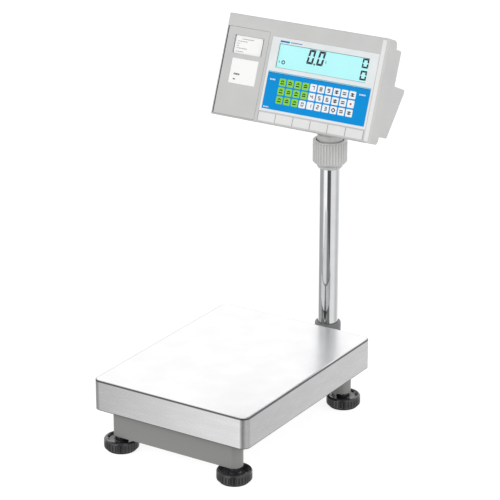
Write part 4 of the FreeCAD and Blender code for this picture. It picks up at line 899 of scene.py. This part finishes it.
# The roof over a bar on the green keys: half width, and heights of its feet and its top.
ROOF = (3.0, 0.6, 3.0)
GREEN_BAR = (-3.6, 3.4, -3.4, -1.6)
# The pair of level lines on the other keys, with an upright through them in every second column.
LINE_REACH = 3.4
LINE_STEP = 1.6
LINE_HALF = 0.9
UPRIGHT_HALF = 0.8


def key_centre(row, column):
    """(x, up) of the middle of a key."""
    return KEY_FIRST_X + column * KEY_PITCH_X, KEY_TOP_ROW - row * KEY_PITCH_UP


def add_key(points, faces, x, up):
    """Embossed key: a rounded rim that rises to a flat top."""
    half = KEY_SIZE / 2
    rings = []
    for inset, rise in KEY_PROFILE:
        radius = KEY_R - inset * KEY_TIGHTENING
        ring = rounded_rectangle(half - inset, half - inset, radius, 0.0, steps=KEY_ARC_STEPS)
        rings.append([(x + px, KEY_BASE - rise, up + pu) for px, pu, _ in reversed(ring)])
    ring_points, ring_faces = loft(rings)
    start = len(points)
    points += ring_points
    faces += [tuple(start + k for k in face) for face in ring_faces]


def make_keys():
    """Green keys on the left, white keys on the right, each a raised pad."""
    groups = {"green": ([], []), "white": ([], [])}
    for row in range(KEY_ROWS):
        for column in range(KEY_COLUMNS):
            colour = "green" if column < GREEN_KEYS[row] else "white"
            points, faces = groups[colour]
            add_key(points, faces, *key_centre(row, column))
    films = {"green": printed_film("key_green", linear(140, 214, 68)),
             "white": printed_film("key_white", linear(244, 246, 247))}
    for colour, (points, faces) in groups.items():
        keys = add_piece(f"keys_{colour}", points, faces, "head", films[colour], place=HEAD.point)


def draw_seven_segments(plates, x, up, width, height, bar, shown, slant=0.0):
    """Slanted digit from seven bars; shown names the dark bars with the usual letters a to g."""
    gap = bar * 0.07

    def shape(*corners):
        return [(x + px + pu * slant, up + pu) for px, pu in corners]

    middle = height / 2
    right = width - bar
    bars = {
        "a": shape((bar, height - bar), (right, height - bar), (width - gap, height), (gap, height)),
        "d": shape((gap, 0), (width - gap, 0), (right, bar), (bar, bar)),
        "g": shape((bar, middle - bar / 2), (right, middle - bar / 2), (width - bar / 2, middle),
                   (right, middle + bar / 2), (bar, middle + bar / 2), (bar / 2, middle)),
        "f": shape((0, middle + gap), (bar, middle + bar / 2), (bar, height - bar - gap),
                   (0, height - gap)),
        "b": shape((right, middle + bar / 2), (width, middle + gap), (width, height - gap),
                   (right, height - bar - gap)),
        "e": shape((0, gap), (bar, bar + gap), (bar, middle - bar / 2), (0, middle - gap)),
        "c": shape((right, bar + gap), (width, gap), (width, middle - gap), (right, middle - bar / 2)),
    }
    for letter in shown:
        plates.add(bars[letter])


def draw_star(plates, x, up):
    """Three strokes that cross."""
    for k in range(3):
        angle = k * pi / 3
        dx = STAR_REACH * cos(angle)
        du = STAR_REACH * sin(angle)
        plates.stroke((x - dx, up - du), (x + dx, up + du), STAR_WIDTH)


def draw_diamond(plates, x, up):
    """Four strokes round a square that stands on its corner."""
    corners = [(x + DIAMOND_REACH * cos(k * pi / 2), up + DIAMOND_REACH * sin(k * pi / 2)) for k in range(5)]
    for start, end in zip(corners, corners[1:]):
        plates.stroke(start, end, LEGEND_WIDTH)


def draw_roof(plates, x, up, lift):
    """Two strokes that meet over a bar."""
    half, foot, top = ROOF
    left, right, low, high = GREEN_BAR
    plates.bar(x + left, x + right, up + low + lift, up + high + lift)
    plates.stroke((x - half, up + foot), (x, up + top), LEGEND_WIDTH)
    plates.stroke((x, up + top), (x + half, up + foot), LEGEND_WIDTH)


def draw_lines(plates, x, up, crossed):
    """Two level lines, with or without an upright through them."""
    for step in (-LINE_STEP, LINE_STEP):
        plates.bar(x - LINE_REACH, x + LINE_REACH, up + step - LINE_HALF, up + step + LINE_HALF)
    if crossed:
        plates.bar(x - UPRIGHT_HALF, x + UPRIGHT_HALF, up - LINE_REACH, up + LINE_REACH)


def draw_legend(dark, red, row, column):
    """The sign of one key, in dark or red ink."""
    x, up = key_centre(row, column)
    if (row, column) in KEY_DIGITS:
        draw_seven_segments(dark, x - DIGIT_WIDTH / 2, up - DIGIT_HEIGHT / 2, DIGIT_WIDTH, DIGIT_HEIGHT,
                            DIGIT_BAR, KEY_DIGITS[(row, column)])
    elif column < GREEN_KEYS[row]:
        draw_roof(dark, x, up, column % 2)
    elif (row, column) == STAR_KEY:
        draw_star(red, x, up)
    elif (row, column) == DIAMOND_KEY:
        draw_diamond(dark, x, up)
    else:
        draw_lines(dark, x, up, crossed=column % 2)


def make_legends():
    """Digits and plain signs on the keys."""
    surface = KEY_BASE - KEY_RISE
    dark = Plates(surface - INK_OUT, surface + INK_IN)
    red = Plates(surface - INK_OUT, surface + INK_IN)
    for row in range(KEY_ROWS):
        for column in range(KEY_COLUMNS):
            draw_legend(dark, red, row, column)
    dark_ink = Finish("legend_ink", linear(14, 22, 26), 0.5, Specular_IOR_Level=0.1)
    dark_ink.shade(dark_ink.noise(0.002), low=0.9, high=1.2)
    red_ink = Finish("legend_red", linear(200, 40, 40), 0.5)
    red_ink.shade(red_ink.noise(0.002), low=0.9, high=1.1)
    for name, plates, ink in (("key_legends", dark, dark_ink), ("key_legend_red", red, red_ink)):
        plates.piece(name, "head", ink.material)


# ---------------------------------------------------------------- the display's figures
# Depths of the figures in front of the display panel.
FIGURE_NEAR = 0.06
FIGURE_FAR = 0.02
ZERO = "abcdef"
# The weight reading: where its figures stand, and their (width, height, bar width).
READING_X = (9.8, 29.3)
READING_UP = 114.2
READING_SIZE = (12.8, 25.2, 3.8)
READING_SLANT = 0.13
READING_POINT = (24.6, 27.6, 113.6, 116.6)
COUNTER_X = 117.4
COUNTER_UP = (123.4, 102.6)
COUNTER_SIZE = (12.4, 16.6, 3.1)
COUNTER_SLANT = 0.02
# The idle ring: x, up, radius and line width.
IDLE_RING = (-34.9, 109.6, 3.6, 1.7)
SMALL_MARKS = ((-43.4, -42.4, 107.6, 111.6), (47.3, 48.5, 119.6, 124.0))


def make_display_figures():
    """Weight reading 0.0 with two small counters and the idle ring."""
    near = HEAD.box("lcd_panel")[2]
    plates = Plates(near - FIGURE_NEAR, near - FIGURE_FAR)
    for x in READING_X:
        draw_seven_segments(plates, x, READING_UP, *READING_SIZE, ZERO, READING_SLANT)
    plates.bar(*READING_POINT)
    for up in COUNTER_UP:
        draw_seven_segments(plates, COUNTER_X, up, *COUNTER_SIZE, ZERO, COUNTER_SLANT)
    plates.ring(*IDLE_RING)
    for mark in SMALL_MARKS:
        plates.bar(*mark)
    ink = Finish("lcd_ink", linear(0, 14, 40), 0.6, Specular_IOR_Level=0.0)
    ink.shade(ink.noise(0.004), low=0.9, high=1.1)
    figures = plates.piece("display_figures", "head", ink.material)


# ---------------------------------------------------------------- printed strip, label, tab trim and painted margin highlight
# The strip shows in the exit window: how far the window's top is below the door's, and how much shows.
EXIT_TOP_DROP = 17.7
STRIP_SHOWN = 30.0
STRIP_MARGIN = 0.1
STRIP_NEAR = 0.15
STRIP_FAR = 0.05
STRIP_PRINT = 0.17
STRIP_LINE_HEIGHT = 1.3
# Printed lines on the strip: (left, right, bottom).
STRIP_LINES = ((-125.0, -101.0, 137.0), (-133.0, -114.0, 132.6), (-134.0, -128.0, 128.4),
               (-134.0, -129.0, 124.2), (-134.0, -112.0, 120.4), (-134.0, -119.0, 114.6))
# Printed lines on the door's label: (left, right, bottom, height).
LABEL_LINES = ((-127.5, -115.5, 74.2, 3.0), (-127.0, -122.8, 65.4, 2.4))
LABEL_INK_OUT = 0.04
LABEL_INK_IN = 0.02

TAB_COUNT = 6
TAB_LEFT = -62.7
TAB_RIGHT = 146.5
TAB_BOTTOM = 3.6
TAB_TOP = 19.6
TAB_GAP = 0.7
TAB_NEAR = -0.06
TAB_FAR = 0.02
# The sloped margin at the face's right, where a painted highlight lies: (x, depth) corners of its section,
# and where it starts and ends.
MARGIN_SECTION = ((149.7, 0.0), (155.9, 2.45), (155.9, 2.65), (149.7, 0.2))
MARGIN_SPAN = (3.0, 176.0)


def make_paper_marks():
    """Printed lines on the strip in the exit window and two on the label of the door."""
    left, right, near, _, _, _ = HEAD.box("label_strip")
    window_top = HEAD.box("printer_door")[5] - EXIT_TOP_DROP
    web = Plates(near - STRIP_NEAR, near - STRIP_FAR)
    web.bar(left + STRIP_MARGIN, right - STRIP_MARGIN, window_top - STRIP_SHOWN, window_top)
    web.piece("printed_strip", "head", MATERIALS["paper_white"])
    lines = [mark for line in STRIP_LINES for mark in dashes(*line, STRIP_LINE_HEIGHT)]
    print_shape("strip_print", "strip_ink", (150, 148, 150), lines, depth=near - STRIP_PRINT)

    label = HEAD.box("spec_label")[2]
    ink = Plates(label - LABEL_INK_OUT, label + LABEL_INK_IN)
    for line in LABEL_LINES:
        for mark in dashes(*line):
            ink.bar(*mark)
    label_ink = printed_film("label_ink", linear(70, 70, 74))
    ink.piece("label_print", "printer_door", label_ink)


def make_tabs_and_margin_highlight():
    """Paler inlays in the tabs along the bottom, and a painted highlight of paler plastic down the sloped
    margin.
    """
    paler_trim_and_highlight = moulded_plastic("trim_and_highlight_plastic", linear(231, 231, 230), 0.4)
    tabs = Plates(TAB_NEAR, TAB_FAR)
    pitch = (TAB_RIGHT - TAB_LEFT) / TAB_COUNT
    for k in range(TAB_COUNT):
        x = TAB_LEFT + k * pitch
        tabs.bar(x + TAB_GAP, x + pitch - TAB_GAP, TAB_BOTTOM + TAB_GAP, TAB_TOP - TAB_GAP)
    tabs.piece("tab_inlays", "head", paler_trim_and_highlight)
    # Painted highlight: a paler strip on the sloped margin, standing in for the light that catches it.
    rings = [[(x, depth, up) for x, depth in MARGIN_SECTION] for up in MARGIN_SPAN]
    points, faces = loft(rings)
    margin = add_piece("margin_painted_highlight", points, faces, "head", paler_trim_and_highlight, place=HEAD.point)


# ---------------------------------------------------------------- making the scene
make_camera()
make_studio()
dress_cad_nodes()
make_pan()
make_tube()
make_overlay()
make_display_figures()
make_legends()
make_paper_marks()
make_tabs_and_margin_highlight()

bpy.context.view_layer.update()
